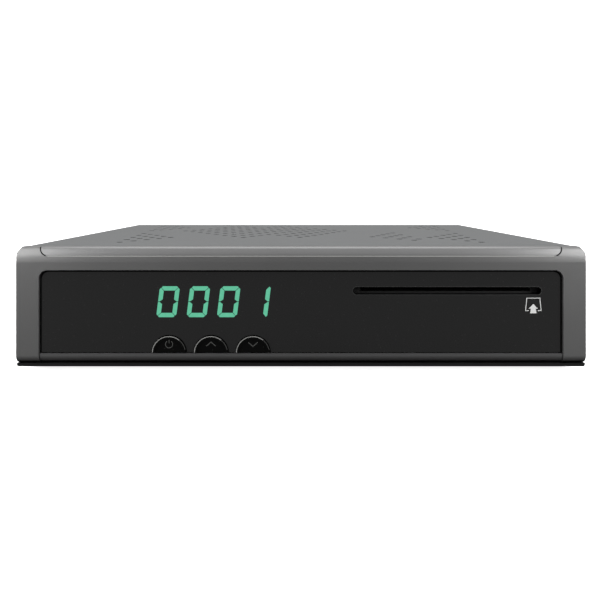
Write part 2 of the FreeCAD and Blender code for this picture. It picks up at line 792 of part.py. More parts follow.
def standoff(x, y):
    """A six-sided spacer between floor and main board."""
    spacer = hexagon("z", "standoff_radius", x, depth(y), (FLOOR, BOARD_UNDER))
    bore = cylinder("z", "screw_radius + slip_gap / 2", x, depth(y),
                    (f"{FLOOR} + bore_floor - slip_gap", f"{BOARD_UNDER} + past"))
    return cut(spacer, bore)


CAPACITOR_COLUMNS = 4
CAPACITOR_LINES = 2
COILS = 2
SINK_FOOT = f"({BOARD_TOP} + processor_height)"


def heat_sink():
    """A base plate with upright fins, drawn once and repeated."""
    body = doc.addObject("PartDesign::Body", "HeatSink")
    left, right = middle(PROCESSOR_X, "sink_side")
    front, back = middle(depth("processor_depth"), "sink_side")
    square = outline(body, "XY_Plane", SINK_FOOT,
                     [(left, front), (right, front), (right, back), (left, back)])
    pad(body, square, "sink_base")
    strip = outline(body, "XY_Plane", f"{SINK_FOOT} + sink_base",
                    [(left, front), (f"{left} + fin_thickness", front),
                     (f"{left} + fin_thickness", back), (left, back)])
    fin = pad(body, strip, "sink_fin")
    pattern = body.newObject("PartDesign::LinearPattern", "Fins")
    pattern.Originals = [fin]
    pattern.Direction = (strip, ["H_Axis"])
    pattern.setExpression("Length", bound("sink_side - fin_thickness"))
    pattern.setExpression("Occurrences", bound("fin_count"))
    doc.recompute()
    body.Tip = pattern
    return body


def memory_chip(number):
    """One flat memory chip beside the processor."""
    return box(middle(MEMORY_X, "memory_width"),
               middle(depth(f"processor_depth + {number} * memory_pitch"), "memory_length"),
               (BOARD_TOP, f"{BOARD_TOP} + memory_height"))


def capacitor(column, line):
    """An upright round capacitor with a rounded top."""
    body = doc.addObject("PartDesign::Body", "Capacitor")
    can = body.newObject("PartDesign::AdditiveCylinder", "Can")
    can.setExpression("Radius", bound("capacitor_radius"))
    can.setExpression("Height", bound("capacitor_height"))
    place(can, f"{CAPACITOR_X} + {column} * capacitor_pitch",
          depth(f"{CAPACITOR_DEPTH} + {line} * capacitor_pitch"), BOARD_TOP)
    doc.recompute()
    rim = [f"Edge{number}" for number, edge in enumerate(can.Shape.Edges, start=1)
           if abs(edge.BoundBox.ZMin - can.Shape.BoundBox.ZMax) < NEAR]
    fillet = body.newObject("PartDesign::Fillet", "Rim")
    fillet.Base = (can, rim)
    fillet.setExpression("Radius", bound("capacitor_roll"))
    doc.recompute()
    body.Tip = fillet
    return body


def power_coil(number):
    """A round choke with its bore."""
    x = f"{CAPACITOR_X} + {number} * coil_pitch"
    ring = cylinder("z", "coil_radius", x, depth(COIL_DEPTH), (BOARD_TOP, f"{BOARD_TOP} + coil_height"))
    bore = cylinder("z", "coil_bore", x, depth(COIL_DEPTH),
                    (f"{BOARD_TOP} + coil_floor", f"{BOARD_TOP} + coil_height + past"))
    return cut(ring, bore)


TUNER_BACK = f"({WALL_FRONT} - slip_gap)"
TUNER_TOP = f"({BOARD_TOP} + tuner_height)"
AERIAL_AT = f"({BOARD_TOP} + tuner_height / 2)"
NUT_FOOT = f"({WALL_BACK} + aerial_washer_height)"
NUT_BACK = f"({NUT_FOOT} + aerial_nut_height)"
AERIALS = [f"({TUNER_X} - aerial_pitch / 2)", f"({TUNER_X} + aerial_pitch / 2)"]


def tuner_can():
    """The tuner's open tin frame."""
    span = middle(TUNER_X, "tuner_width")
    shell = box(span, deep(f"{TUNER_BACK} - tuner_depth", TUNER_BACK), (BOARD_TOP, TUNER_TOP))
    hollow = box((f"{span[0]} + tuner_skin", f"{span[1]} - tuner_skin"),
                 deep(f"{TUNER_BACK} - tuner_depth + tuner_skin", f"{TUNER_BACK} - tuner_skin"),
                 (f"{BOARD_TOP} + tuner_skin", f"{TUNER_TOP} + past"))
    return cut(shell, hollow)


def tuner_lid():
    """The tuner's tin lid."""
    return box(middle(TUNER_X, "tuner_width"),
               deep(f"{TUNER_BACK} - tuner_depth", TUNER_BACK),
               (TUNER_TOP, f"{TUNER_TOP} + tuner_skin"))


def aerial_barrel(x):
    """The barrel of one aerial socket, down to its thread's root where the nut has it."""
    barrel = cylinder("y", "aerial_radius", x, deep(NUT_BACK, "body_depth + connector_reach"), AERIAL_AT)
    neck = cylinder("y", "aerial_neck", x, deep(TUNER_BACK, NUT_BACK), AERIAL_AT)
    bore = cylinder("y", "aerial_bore", x,
                    deep(f"{TUNER_BACK} - past", "body_depth + connector_reach + past"),
                    AERIAL_AT)
    return cut(fuse(barrel, neck), bore)


def aerial_insulator(x):
    """The white insulator that fills the barrel round its centre contact."""
    plug = cylinder("y", "aerial_bore", x,
                    deep(TUNER_BACK, "body_depth + connector_reach - aerial_recess"), AERIAL_AT)
    hole = cylinder("y", "aerial_core", x,
                    deep("body_depth", "body_depth + connector_reach"), AERIAL_AT)
    return cut(plug, hole)


def aerial_washer(x):
    """The flat washer outside the rear panel."""
    disc = cylinder("y", "aerial_washer", x, deep(WALL_BACK, NUT_FOOT), AERIAL_AT)
    bore = cylinder("y", "aerial_radius", x, deep(f"{WALL_BACK} - past", NUT_BACK), AERIAL_AT)
    return cut(disc, bore)


def aerial_nut(x):
    """The six-sided nut that clamps the aerial socket to the rear panel."""
    prism = hexagon("y", "aerial_nut", x, deep(NUT_FOOT, NUT_BACK), AERIAL_AT)
    bore = cylinder("y", "aerial_neck", x, deep(f"{NUT_FOOT} - past", f"{NUT_BACK} + past"), AERIAL_AT)
    return cut(prism, bore)


CONTACTS_IN_ROW = 4
CONTACTS = 2 * CONTACTS_IN_ROW
CHANNEL_HALF = "(card_width / 2 + card_gap)"
CHANNEL = (f"{SLOT_HEIGHT_AT} - card_channel / 2", f"{SLOT_HEIGHT_AT} + card_channel / 2")
READER_SPAN = (f"{SLOT_X} - {CHANNEL_HALF} - reader_side", f"{SLOT_X} + {CHANNEL_HALF} + reader_side")
READER_FRONT = f"({PANEL_BACK} + 2 * fit_gap)"
READER_BACK = f"({READER_FRONT} + reader_length)"
READER_FOOT = f"({CHANNEL[0]} - reader_floor)"
READER_TOP = f"({CHANNEL[1]} + reader_roof)"


def contact_place(number):
    """Where one of the card contacts lies, in its two rows."""
    column = number % CONTACTS_IN_ROW - (CONTACTS_IN_ROW - 1) / 2
    line = number // CONTACTS_IN_ROW
    return (middle(f"{SLOT_X} + {column} * contact_pitch", "contact_width"),
            (depth(f"contact_depth + {line} * contact_row_pitch"),
             depth(f"contact_depth + {line} * contact_row_pitch + contact_length")))


def card_reader_frame():
    """The moulded frame with the card's channel and pockets for the contacts."""
    block = box(READER_SPAN, deep(READER_FRONT, READER_BACK), (READER_FOOT, READER_TOP))
    channel = box((f"{SLOT_X} - {CHANNEL_HALF}", f"{SLOT_X} + {CHANNEL_HALF}"),
                  deep(f"{READER_FRONT} - past", f"{READER_BACK} - reader_back"), CHANNEL)
    window = box(middle(SLOT_X, "card_width / 2"),
                 deep(f"{READER_FRONT} + reader_length / 2", f"{READER_BACK} - 4 * reader_back"),
                 (CHANNEL[1], f"{READER_TOP} + past"))
    pockets = []
    for number in range(CONTACTS):
        x, y = contact_place(number)
        pockets.append(box((f"{x[0]} - slip_gap", f"{x[1]} + slip_gap"),
                           (f"{y[0]} - slip_gap", f"{y[1]} + slip_gap"),
                           (f"{CHANNEL[0]} - contact_sink", CHANNEL[1])))
    return cut(block, channel, window, *pockets)


def card_contact(number):
    """One sprung card contact in its pocket."""
    x, y = contact_place(number)
    return box(x, y, (f"{CHANNEL[0]} - contact_sink", f"{CHANNEL[0]} + contact_rise"))


def card_reader_lid():
    """The thin steel lid on the card reader."""
    return box(READER_SPAN, deep(f"{READER_FRONT} + reader_back", READER_BACK),
               (READER_TOP, f"{READER_TOP} + reader_lid"))


BRACKET_TOP = READER_FOOT
BRACKET_LEGS = [(side, back) for side in (-1, 1) for back in (0, 1)]


def bracket_leg_place(side, back):
    """Where a bracket leg's outer face and its width along the depth lie."""
    face = READER_SPAN[0] if side < 0 else READER_SPAN[1]
    start = "bracket_setback" if back == 0 else f"({READER_BACK} - bracket_leg)"
    return face, start


def card_reader_bracket():
    """The folded bracket that stands on the main board and carries the card reader."""
    plate = box(READER_SPAN, deep("bracket_setback", READER_BACK),
                (f"{BRACKET_TOP} - sheet_gauge", BRACKET_TOP))
    window = box((f"{READER_SPAN[0]} + bracket_leg", f"{READER_SPAN[1]} - bracket_leg"),
                 deep("bracket_setback + bracket_leg", f"{READER_BACK} - bracket_leg"),
                 (f"{BRACKET_TOP} - 2 * sheet_gauge", f"{BRACKET_TOP} + past"))
    pieces = [cut(plate, window)]
    for side, back in BRACKET_LEGS:
        face, start = bracket_leg_place(side, back)
        inner = f"{face} - ({side}) * sheet_gauge"
        wall = (inner, face) if side > 0 else (face, inner)
        tab = (inner, f"{inner} + ({side}) * bracket_tab")
        tab = tab if side > 0 else (tab[1], tab[0])
        span = deep(start, f"{start} + bracket_leg")
        pieces.append(box(wall, span, (BOARD_TOP, BRACKET_TOP)))
        foot = box(tab, span, (BOARD_TOP, f"{BOARD_TOP} + sheet_gauge"))
        hole = cylinder("z", "screw_radius", f"{face} + ({side}) * (bracket_tab - head_radius)",
                        depth(f"{start} + bracket_leg / 2"),
                        (f"{BOARD_TOP} - past", f"{BOARD_TOP} + 2 * past"))
        pieces.append(cut(foot, hole))
    return fuse(*pieces)


def bracket_screw(side, back):
    """The short screw in one foot of the bracket."""
    face, start = bracket_leg_place(side, back)
    return pan_screw("z", f"({BOARD_TOP} + sheet_gauge)", 1,
                     f"{face} + ({side}) * (bracket_tab - head_radius)",
                     depth(f"{start} + bracket_leg / 2"), None, "sheet_gauge")


SOUND_AT = f"({BOARD_TOP} + sound_side / 2)"
POWER_AT = f"({BOARD_TOP} + power_height / 2)"
OPTICAL_AT = f"({BOARD_TOP} + optical_side / 2)"
HINGE_AT = f"({OPTICAL_AT} + optical_mouth / 2 - hinge_seat)"
HINGE_DEPTH = f"({FLUSH} - shutter_setback)"


def sound_socket():
    """The sound and picture socket: case, round collar and bore."""
    case = box(middle(SOUND_X, "sound_side"), deep(f"{TUNER_BACK} - sound_length", TUNER_BACK),
               (BOARD_TOP, f"{BOARD_TOP} + sound_side"))
    collar = cylinder("y", "sound_collar", SOUND_X, deep(TUNER_BACK, f"{FLUSH} + sound_reach"), SOUND_AT)
    bore = cylinder("y", "sound_bore", SOUND_X,
                    deep(f"{TUNER_BACK} - sound_length + sound_floor", f"{FLUSH} + sound_reach + past"),
                    SOUND_AT)
    return cut(fuse(case, collar), bore)


def optical_socket():
    """The optical sound socket with its square mouth and the seats of its shutter."""
    case = box(middle(OPTICAL_X, "optical_side"), deep(f"{FLUSH} - optical_length", FLUSH),
               (BOARD_TOP, f"{BOARD_TOP} + optical_side"))
    mouth = box(middle(OPTICAL_X, "optical_mouth"), deep(f"{FLUSH} - optical_cavity", f"{FLUSH} + past"),
                middle(OPTICAL_AT, "optical_mouth"))
    ferrule = cylinder("y", "emitter_radius", OPTICAL_X,
                       deep(f"{FLUSH} - optical_cavity - emitter_length", FLUSH), OPTICAL_AT)
    seats = cylinder("x", "hinge_radius + hinge_gap",
                     middle(OPTICAL_X, "optical_mouth + 2 * shutter_thickness"),
                     depth(HINGE_DEPTH), HINGE_AT)
    return cut(case, mouth, ferrule, seats)


def optical_emitter():
    """The light source at the end of the optical socket."""
    return cylinder("y", "emitter_radius - slip_gap", OPTICAL_X,
                    deep(f"{FLUSH} - optical_cavity - emitter_length",
                         f"{FLUSH} - optical_cavity - emitter_gap"),
                    OPTICAL_AT)


def optical_shutter():
    """The hinged flap inside the optical socket's mouth, with its pins."""
    flap = box(middle(OPTICAL_X, "optical_mouth - 2 * shutter_gap"),
               middle(depth(HINGE_DEPTH), "shutter_thickness"),
               (f"{OPTICAL_AT} - optical_mouth / 2 + shutter_gap", HINGE_AT))
    pin = cylinder("x", "hinge_radius",
                   middle(OPTICAL_X, "optical_mouth + 2 * shutter_thickness - 2 * hinge_gap"),
                   depth(HINGE_DEPTH), HINGE_AT)
    return fuse(flap, pin)


def video_outline(body, grow, start):
    """The digital picture socket's six-sided mouth, shrunk or grown all round."""
    half = f"(video_width / 2 + {grow})"
    low = f"({BOARD_TOP} - {grow})"
    high = f"({BOARD_TOP} + video_height + {grow})"
    return outline(body, "XZ_Plane", f"0 - {depth(start)}", [
        (f"{VIDEO_X} - {half}", high),
        (f"{VIDEO_X} + {half}", high),
        (f"{VIDEO_X} + {half}", f"{low} + video_chamfer"),
        (f"{VIDEO_X} + {half} - video_chamfer", low),
        (f"{VIDEO_X} - {half} + video_chamfer", low),
        (f"{VIDEO_X} - {half}", f"{low} + video_chamfer"),
    ])


def video_bar(grow, start, length):
    """A bar with the picture socket's outline."""
    body = doc.addObject("PartDesign::Body", "VideoBar")
    body.Tip = pad(body, video_outline(body, grow, start), length, reverse=True)
    return body


def video_shell():
    """The picture socket's steel shell."""
    outer = video_bar("0", f"({FLUSH} - video_length)", "video_length")
    inner = video_bar("(0 - video_skin)", f"({FLUSH} - video_length + video_skin)", "video_length")
    return cut(outer, inner)


def video_tongue():
    """The picture socket's contact tongue."""
    back = f"({FLUSH} - video_length + video_skin)"
    return box(middle(VIDEO_X, "video_tongue"), deep(back, f"{FLUSH} - tongue_setback"),
               middle(f"{BOARD_TOP} + video_tongue_rise", "video_tongue_height"))


def usb_shell():
    """The steel shell of the service socket."""
    span = middle(USB_X, "usb_width")
    outer = box(span, deep(f"{FLUSH} - usb_length", FLUSH), (BOARD_TOP, f"{BOARD_TOP} + usb_height"))
    inner = box((f"{span[0]} + usb_skin", f"{span[1]} - usb_skin"),
                deep(f"{FLUSH} - usb_length + usb_skin", f"{FLUSH} + past"),
                (f"{BOARD_TOP} + usb_skin", f"{BOARD_TOP} + usb_height - usb_skin"))
    return cut(outer, inner)


def usb_tongue():
    """The contact tongue of the service socket."""
    return box(middle(USB_X, "usb_tongue"),
               deep(f"{FLUSH} - usb_length + usb_skin", f"{FLUSH} - tongue_setback"),
               middle(f"{BOARD_TOP} + usb_tongue_rise", "usb_tongue_height"))


NETWORK_WIRES = 8
NETWORK_MOUTH_FOOT = f"({BOARD_TOP} + network_foot + network_latch_height)"


def network_socket():
    """The network socket with its stepped mouth."""
    case = box(middle(NETWORK_X, "network_width"), deep(f"{FLUSH} - network_length", FLUSH),
               (BOARD_TOP, f"{BOARD_TOP} + network_height"))
    mouth = box(middle(NETWORK_X, "network_mouth"), deep(f"{FLUSH} - network_cavity", f"{FLUSH} + past"),
                (NETWORK_MOUTH_FOOT, f"{NETWORK_MOUTH_FOOT} + network_mouth_height"))
    latch = box(middle(NETWORK_X, "network_latch"), deep(f"{FLUSH} - network_cavity", f"{FLUSH} + past"),
                (f"{NETWORK_MOUTH_FOOT} - network_latch_height", f"{NETWORK_MOUTH_FOOT} + past"))
    return cut(case, mouth, latch)


def network_contact(number):
    """One of the sprung wires at the top of the network socket's mouth."""
    top = f"({NETWORK_MOUTH_FOOT} + network_mouth_height)"
    place_in_row = number - (NETWORK_WIRES - 1) / 2
    return box(middle(f"{NETWORK_X} + ({place_in_row}) * wire_pitch", "wire_width"),
               deep(f"{FLUSH} - network_cavity", f"{FLUSH} - network_cavity + wire_length"),
               (f"{top} - wire_height", top))


def power_socket():
    """The power inlet: case with its round bore."""
    case = box(middle(POWER_X, "power_width"), deep(f"{FLUSH} - power_length", FLUSH),
               (BOARD_TOP, f"{BOARD_TOP} + power_height"))
    bore = cylinder("y", "power_bore", POWER_X, deep(f"{FLUSH} - power_cavity", f"{FLUSH} + past"),
                    POWER_AT)
    return cut(case, bore)


def power_pin():
    """The centre pin of the power inlet."""
    return cylinder("y", "power_pin", POWER_X,
                    deep(f"{FLUSH} - power_cavity", f"{FLUSH} - tongue_setback"), POWER_AT)


COVER_SCREW_AT = f"({COVER_TOP} - cover_screw_drop)"
COVER_SCREWS = ["(cover_screw_inset - bezel_width / 2)", "0", "(bezel_width / 2 - cover_screw_inset)"]
REAR_SCREWS = ["(rear_screw_inset - bezel_width / 2)", "(bezel_width / 2 - rear_screw_inset)"]
REAR_SCREW_DEPTH = f"({WALL_FRONT} - rear_tab_length / 2)"


def rear_openings():
    """The tools that open the rear panel for every socket and cover screw."""
    through = deep(f"{WALL_FRONT} - past", f"{WALL_BACK} + past")
    gap = "panel_hole_gap"
    tools = [cylinder("y", f"aerial_radius + {gap}", x, through, AERIAL_AT) for x in AERIALS]
    tools.append(cylinder("y", f"sound_collar + {gap}", SOUND_X, through, SOUND_AT))
    for x, width, height in ((OPTICAL_X, "optical_side", "optical_side"),
                             (VIDEO_X, "video_width", "video_height"),
                             (USB_X, "usb_width", "usb_height"),
                             (NETWORK_X, "network_width", "network_height"),
                             (POWER_X, "power_width", "power_height")):
        tools.append(box(middle(x, f"{width} + 2 * {gap}"), through,
                         (f"{BOARD_TOP} - {gap}", f"{BOARD_TOP} + {height} + {gap}")))
    tools += [cylinder("y", "screw_radius", x, through, COVER_SCREW_AT) for x in COVER_SCREWS]
    return tools


def chassis_base():
    """The folded base pan: a floor with two low side flanges."""
    wide = (f"0 - {INNER_HALF}", INNER_HALF)
    pan = soft_block(wide, deep(SEAM, WALL_BACK), (UNDERSIDE, f"{FLOOR} + side_flange"),
                     ("bend_radius", "y", "-z"))
    inside = box((f"0 - {INNER_HALF} + sheet_gauge", f"{INNER_HALF} - sheet_gauge"),
                 deep(f"{SEAM} - past", "body_depth"), (FLOOR, f"{FLOOR} + side_flange + past"))
    mouth = box((f"0 - {INNER_HALF} - past", f"{INNER_HALF} + past"),
                deep(f"{SEAM} - past", f"{COLLAR_BACK} + collar_gap"),
                (FLOOR, f"{FLOOR} + side_flange + past"))
    back = box((f"0 - {INNER_HALF} - past", f"{INNER_HALF} + past"),
               deep(f"{WALL_FRONT} - slip_gap", "body_depth"), (FLOOR, f"{FLOOR} + side_flange + past"))
    holes = [cylinder("z", "screw_radius + slip_gap", x, depth(y), (f"{UNDERSIDE} - past", f"{FLOOR} + past"))
             for x, y in [(x, BEZEL_SCREW_DEPTH) for x in BEZEL_SCREWS]
             + [(x, REAR_SCREW_DEPTH) for x in REAR_SCREWS]]
    return cut(pan, inside, mouth, back, *holes)


def rear_panel():
    """The flat rear panel with its socket openings and the tab that screws to the floor."""
    plate = box((f"0 - {INNER_HALF}", INNER_HALF), deep(WALL_FRONT, WALL_BACK), (FLOOR, INNER_TOP))
    tab = box(("rear_tab_inset - bezel_width / 2", "bezel_width / 2 - rear_tab_inset"),
              deep(f"{WALL_FRONT} - rear_tab_length", WALL_FRONT), (FLOOR, f"{FLOOR} + sheet_gauge"))
    holes = [cylinder("z", "screw_radius", x, depth(REAR_SCREW_DEPTH),
                      (f"{FLOOR} - past", f"{FLOOR} + 2 * sheet_gauge")) for x in REAR_SCREWS]
    return cut(fuse(plate, tab), *holes, *rear_openings())


def vent_cells():
    """Each vent hole's place across the cover and back from the front plane."""
    column, row = value("vent_column"), value("vent_row")
    side_shift = row * math.tan(math.radians(value("vent_side_lean")))
    count = int(value("vent_side_count"))
    for side in (-1, 1):
        for inset, back in (("vent_front_inset", "vent_front_depth"), ("vent_back_inset", "vent_back_depth")):
            for inward in range(count):
                for step in range(inward - count + 1, count - inward, 2):
                    edge = value("bezel_width") / 2 - value(inset)
                    across = edge - inward * column + step * side_shift
                    yield side * across, value(back) + step * row
    centre_shift = row * math.tan(math.radians(value("vent_centre_lean")))
    reach = int(value("vent_centre_rows"))
    cells = {(tip + across, step)
             for tip in (0, int(value("vent_centre_tips")))
             for step in range(-reach, reach + 1)
             for across in range(abs(step) - reach, reach - abs(step) + 1, 2)}
    for across, step in sorted(cells):
        yield (value("vent_centre_offset") + across * column + step * centre_shift,
               value("vent_centre_depth") + step * row)
    for stroke in range(int(value("vent_patch_strokes"))):
        for hole in range(int(value("vent_patch_count")) - stroke):
            yield (value("vent_patch_offset") + (hole + stroke) * column + (hole - stroke) * centre_shift,
                   value("vent_patch_depth") + (hole - stroke) * row)


def vent_punches():
    """One round punch for every vent hole, as one set."""
    punches = doc.addObject("Part::Feature", "VentPunches")
    radius, length = value("vent_radius"), value("2 * sheet_gauge + 2 * past")
    front, foot = value(FRONT), value(f"{COVER_TOP} - sheet_gauge - past")
    punches.Shape = Part.makeCompound([
        Part.makeCylinder(radius, length, FreeCAD.Vector(x, front + back, foot))
        for x, back in vent_cells()])
    return punches


def top_cover():
    """The folded steel cover: top, two sides, rear lip and its vent holes."""
    outer = soft_block((f"0 - {COVER_HALF}", COVER_HALF), deep(SEAM, "body_depth"),
                       (f"{UNDERSIDE} + skirt_gap", COVER_TOP),
                       ("bend_radius", "y", "+z"), ("bend_radius", "x", "+y+z"))
    inner = soft_block((f"0 - {COVER_HALF} + sheet_gauge", f"{COVER_HALF} - sheet_gauge"),
                       deep(f"{SEAM} - past", "body_depth - sheet_gauge"),
                       (f"{UNDERSIDE} - past", f"{COVER_TOP} - sheet_gauge"),
                       ("bend_radius - sheet_gauge", "y", "+z"))
    rear = box((f"0 - {COVER_HALF} + sheet_gauge", f"{COVER_HALF} - sheet_gauge"),
               deep("body_depth - 2 * sheet_gauge", "body_depth + past"),
               (f"{UNDERSIDE} - past", f"{COVER_TOP} - rear_lip"))
    holes = [cylinder("y", "screw_radius", x, deep("body_depth - 2 * past", "body_depth + past"),
                      COVER_SCREW_AT)
             for x in COVER_SCREWS]
    shell = cut(outer, inner, rear, *holes)
    punched = doc.addObject("Part::Cut", "Punched")
    punched.Base = shell
    punched.Tool = vent_punches()
    return punched


def rubber_foot(side, back):
    """A round stick-on foot with a narrowed tread."""
    cone = doc.addObject("Part::Cone", "Foot")
    cone.setExpression("Radius1", bound("foot_waist"))
    cone.setExpression("Radius2", bound("foot_radius"))
    cone.setExpression("Height", bound(UNDERSIDE))
    at = "foot_setback" if back == 0 else "(body_depth - foot_setback)"
    place(cone, f"({side}) * (bezel_width / 2 - foot_inset)", depth(at), "0")
    return cone


def build():
    """Make every piece and give it its node name."""
    node("bezel_frame", bezel_frame())
    node("top_trim_strip", top_trim_strip())
    node("front_panel", front_panel())
    node("lower_trim_bar", lower_trim_bar())
    for name, x in BUTTON_PLACES.items():
        node(f"{name}_button", push_button(x))
        node(f"{name}_plunger", switch_plunger(x))
    node("switch_bases", group(*[switch_base(x) for x in BUTTON_PLACES.values()]))
    node("display_board", display_board())
    node("digit_display", box(middle(DISPLAY_X, "display_width"),
                              deep(f"{DISPLAY_BOARD} - display_thickness", DISPLAY_BOARD),
                              middle(DISPLAY_AT, "display_height")))
    node("remote_eye", remote_eye())
    board_rear = f"({DISPLAY_BOARD} + board_thickness)"
    node("display_screws", group(*[pan_screw("y", depth(board_rear), 1, x, None, z)
                                   for x, z in DISPLAY_BOSSES]))
    node("ribbon_sockets", ribbon_sockets())
    node("ribbon_cable", ribbon_cable())
    node("main_board", main_board())
    node("standoffs", group(*[standoff(x, y) for x, y in STANDOFFS]))
    node("board_screws", group(*[pan_screw("z", BOARD_TOP, 1, x, depth(y), None,
                                           "standoff_height - bore_floor")
                                 for x, y in STANDOFFS]))
    node("processor", box(middle(PROCESSOR_X, "processor_side"),
                          middle(depth("processor_depth"), "processor_side"), (BOARD_TOP, SINK_FOOT)))
    node("heat_sink", heat_sink())
    node("memory_chips", group(*[memory_chip(number) for number in (-0.5, 0.5)]))
    node("capacitors", group(*[capacitor(column, line) for column in range(CAPACITOR_COLUMNS)
                              for line in range(CAPACITOR_LINES)]))
    node("power_coils", group(*[power_coil(number) for number in range(COILS)]))
    node("tuner_can", tuner_can())
    node("tuner_lid", tuner_lid())
    node("aerial_barrels", group(*[aerial_barrel(x) for x in AERIALS]))
    node("aerial_insulators", group(*[aerial_insulator(x) for x in AERIALS]))
    node("aerial_washers", group(*[aerial_washer(x) for x in AERIALS]))
    node("aerial_nuts", group(*[aerial_nut(x) for x in AERIALS]))
    node("card_reader_frame", card_reader_frame())
    node("card_contacts", group(*[card_contact(number) for number in range(CONTACTS)]))
    node("card_reader_lid", card_reader_lid())
    node("card_reader_bracket", card_reader_bracket())
    node("bracket_screws", group(*[bracket_screw(side, back) for side, back in BRACKET_LEGS]))
    node("sound_socket", sound_socket())
    node("optical_socket", optical_socket())
    node("optical_emitter", optical_emitter())
    node("optical_shutter", optical_shutter())
    node("video_shell", video_shell())
    node("video_tongue", video_tongue())
    node("usb_shell", usb_shell())
    node("usb_tongue", usb_tongue())
    node("network_socket", network_socket())
    node("network_contacts", group(*[network_contact(number) for number in range(NETWORK_WIRES)]))
    node("power_socket", power_socket())
    node("power_pin", power_pin())
    node("chassis_base", chassis_base())
    node("rear_panel", rear_panel())
    node("rear_panel_screws", group(*[pan_screw("z", UNDERSIDE, -1, x, depth(REAR_SCREW_DEPTH), None,
                                                "sheet_screw_length") for x in REAR_SCREWS]))
    node("top_cover", top_cover())
    node("cover_screws", group(*[pan_screw("y", depth("body_depth"), 1, x, None, COVER_SCREW_AT)
                                 for x in COVER_SCREWS]))
    node("bezel_screws", group(*[pan_screw("z", UNDERSIDE, -1, x, depth(BEZEL_SCREW_DEPTH), None)
                                 for x in BEZEL_SCREWS]))
    node("rubber_feet", group(*[rubber_foot(side, back) for side in (-1, 1) for back in (0, 1)]))


def export():
    """Check every object and write one file for each node."""
    doc.recompute()
    for piece in doc.Objects:
        faults = [state for state in piece.State if state in ("Invalid", "Error")]
        if faults:
            raise RuntimeError(f"{piece.Label}: {faults}")
    os.makedirs("parts", exist_ok=True)
    for piece in NODES:
        if piece.Shape.isNull() or not piece.Shape.isValid():
            raise RuntimeError(f"{piece.Label} has no valid shape")
        piece.Shape.exportStep(f"parts/{piece.Label}.step")
        limits = piece.Shape.BoundBox
        print(f"{piece.Label}: {len(piece.Shape.Solids)} solids, {limits.XLength:.1f} x "
              f"{limits.YLength:.1f} x {limits.ZLength:.1f} mm")


build()
export()
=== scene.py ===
import math

import bmesh
import bpy
from bpy.props import FloatProperty, FloatVectorProperty, PointerProperty
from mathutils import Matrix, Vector
from mathutils.bvhtree import BVHTree


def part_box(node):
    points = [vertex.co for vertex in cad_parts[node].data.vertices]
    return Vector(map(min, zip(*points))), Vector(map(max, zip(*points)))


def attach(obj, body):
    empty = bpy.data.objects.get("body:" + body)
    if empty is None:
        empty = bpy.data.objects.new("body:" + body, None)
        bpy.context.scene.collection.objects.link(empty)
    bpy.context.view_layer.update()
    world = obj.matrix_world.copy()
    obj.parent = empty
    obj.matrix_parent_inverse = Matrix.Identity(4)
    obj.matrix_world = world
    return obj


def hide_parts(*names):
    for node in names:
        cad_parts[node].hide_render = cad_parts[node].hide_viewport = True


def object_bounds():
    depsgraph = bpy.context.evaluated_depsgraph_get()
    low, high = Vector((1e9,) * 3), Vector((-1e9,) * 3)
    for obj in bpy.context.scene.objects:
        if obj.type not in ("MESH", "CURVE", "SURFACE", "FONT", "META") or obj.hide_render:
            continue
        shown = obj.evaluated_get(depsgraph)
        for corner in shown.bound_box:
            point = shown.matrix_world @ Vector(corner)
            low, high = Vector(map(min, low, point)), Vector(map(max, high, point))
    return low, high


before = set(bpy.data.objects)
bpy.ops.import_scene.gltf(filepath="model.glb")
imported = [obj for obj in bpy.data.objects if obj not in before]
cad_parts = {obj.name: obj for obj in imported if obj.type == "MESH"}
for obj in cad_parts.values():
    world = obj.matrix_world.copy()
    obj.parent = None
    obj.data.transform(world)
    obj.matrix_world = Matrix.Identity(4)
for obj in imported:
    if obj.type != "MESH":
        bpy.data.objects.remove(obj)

bl_info = {
    "name": "Satellite Receiver Finish",
    "version": (1, 0, 0),
    "blender": (4, 5, 0),
    "location": "View3D > Sidebar > Receiver",
    "description": "Finishes, lit digits, symbols, threads and screws of a satellite television receiver",
    "category": "Object",
}

MM = 0.001
CAD_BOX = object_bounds()
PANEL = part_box("front_panel")
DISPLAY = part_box("digit_display")
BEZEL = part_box("bezel_frame")
BUTTONS = ("power", "channel_up", "channel_down")


# Node trees, for shaders and for geometry


class Wire:
    """An output socket that takes part in ordinary arithmetic."""

    def __init__(self, graph, socket):
        self.graph = graph
        self.socket = socket

    def math(self, operation, *values):
        """Add a Math node on the given values."""
        inputs = dict(enumerate(values))
        return self.graph.node("ShaderNodeMath", {"operation": operation}, inputs)[0]

    def __add__(self, other):
        return self.math("ADD", self, other)

    def __radd__(self, other):
        return self.math("ADD", other, self)

    def __sub__(self, other):
        return self.math("SUBTRACT", self, other)

    def __rsub__(self, other):
        return self.math("SUBTRACT", other, self)

    def __mul__(self, other):
        return self.math("MULTIPLY", self, other)

    def __rmul__(self, other):
        return self.math("MULTIPLY", other, self)

    def above(self, edge):
        """1 where this is over an edge, else 0."""
        return self.math("GREATER_THAN", self, edge)


class Made:
    """A node that was added, whose outputs are reached by name or number."""

    def __init__(self, graph, made):
        self.graph = graph
        self.made = made

    def __getitem__(self, key):
        return Wire(self.graph, self.made.outputs[key])


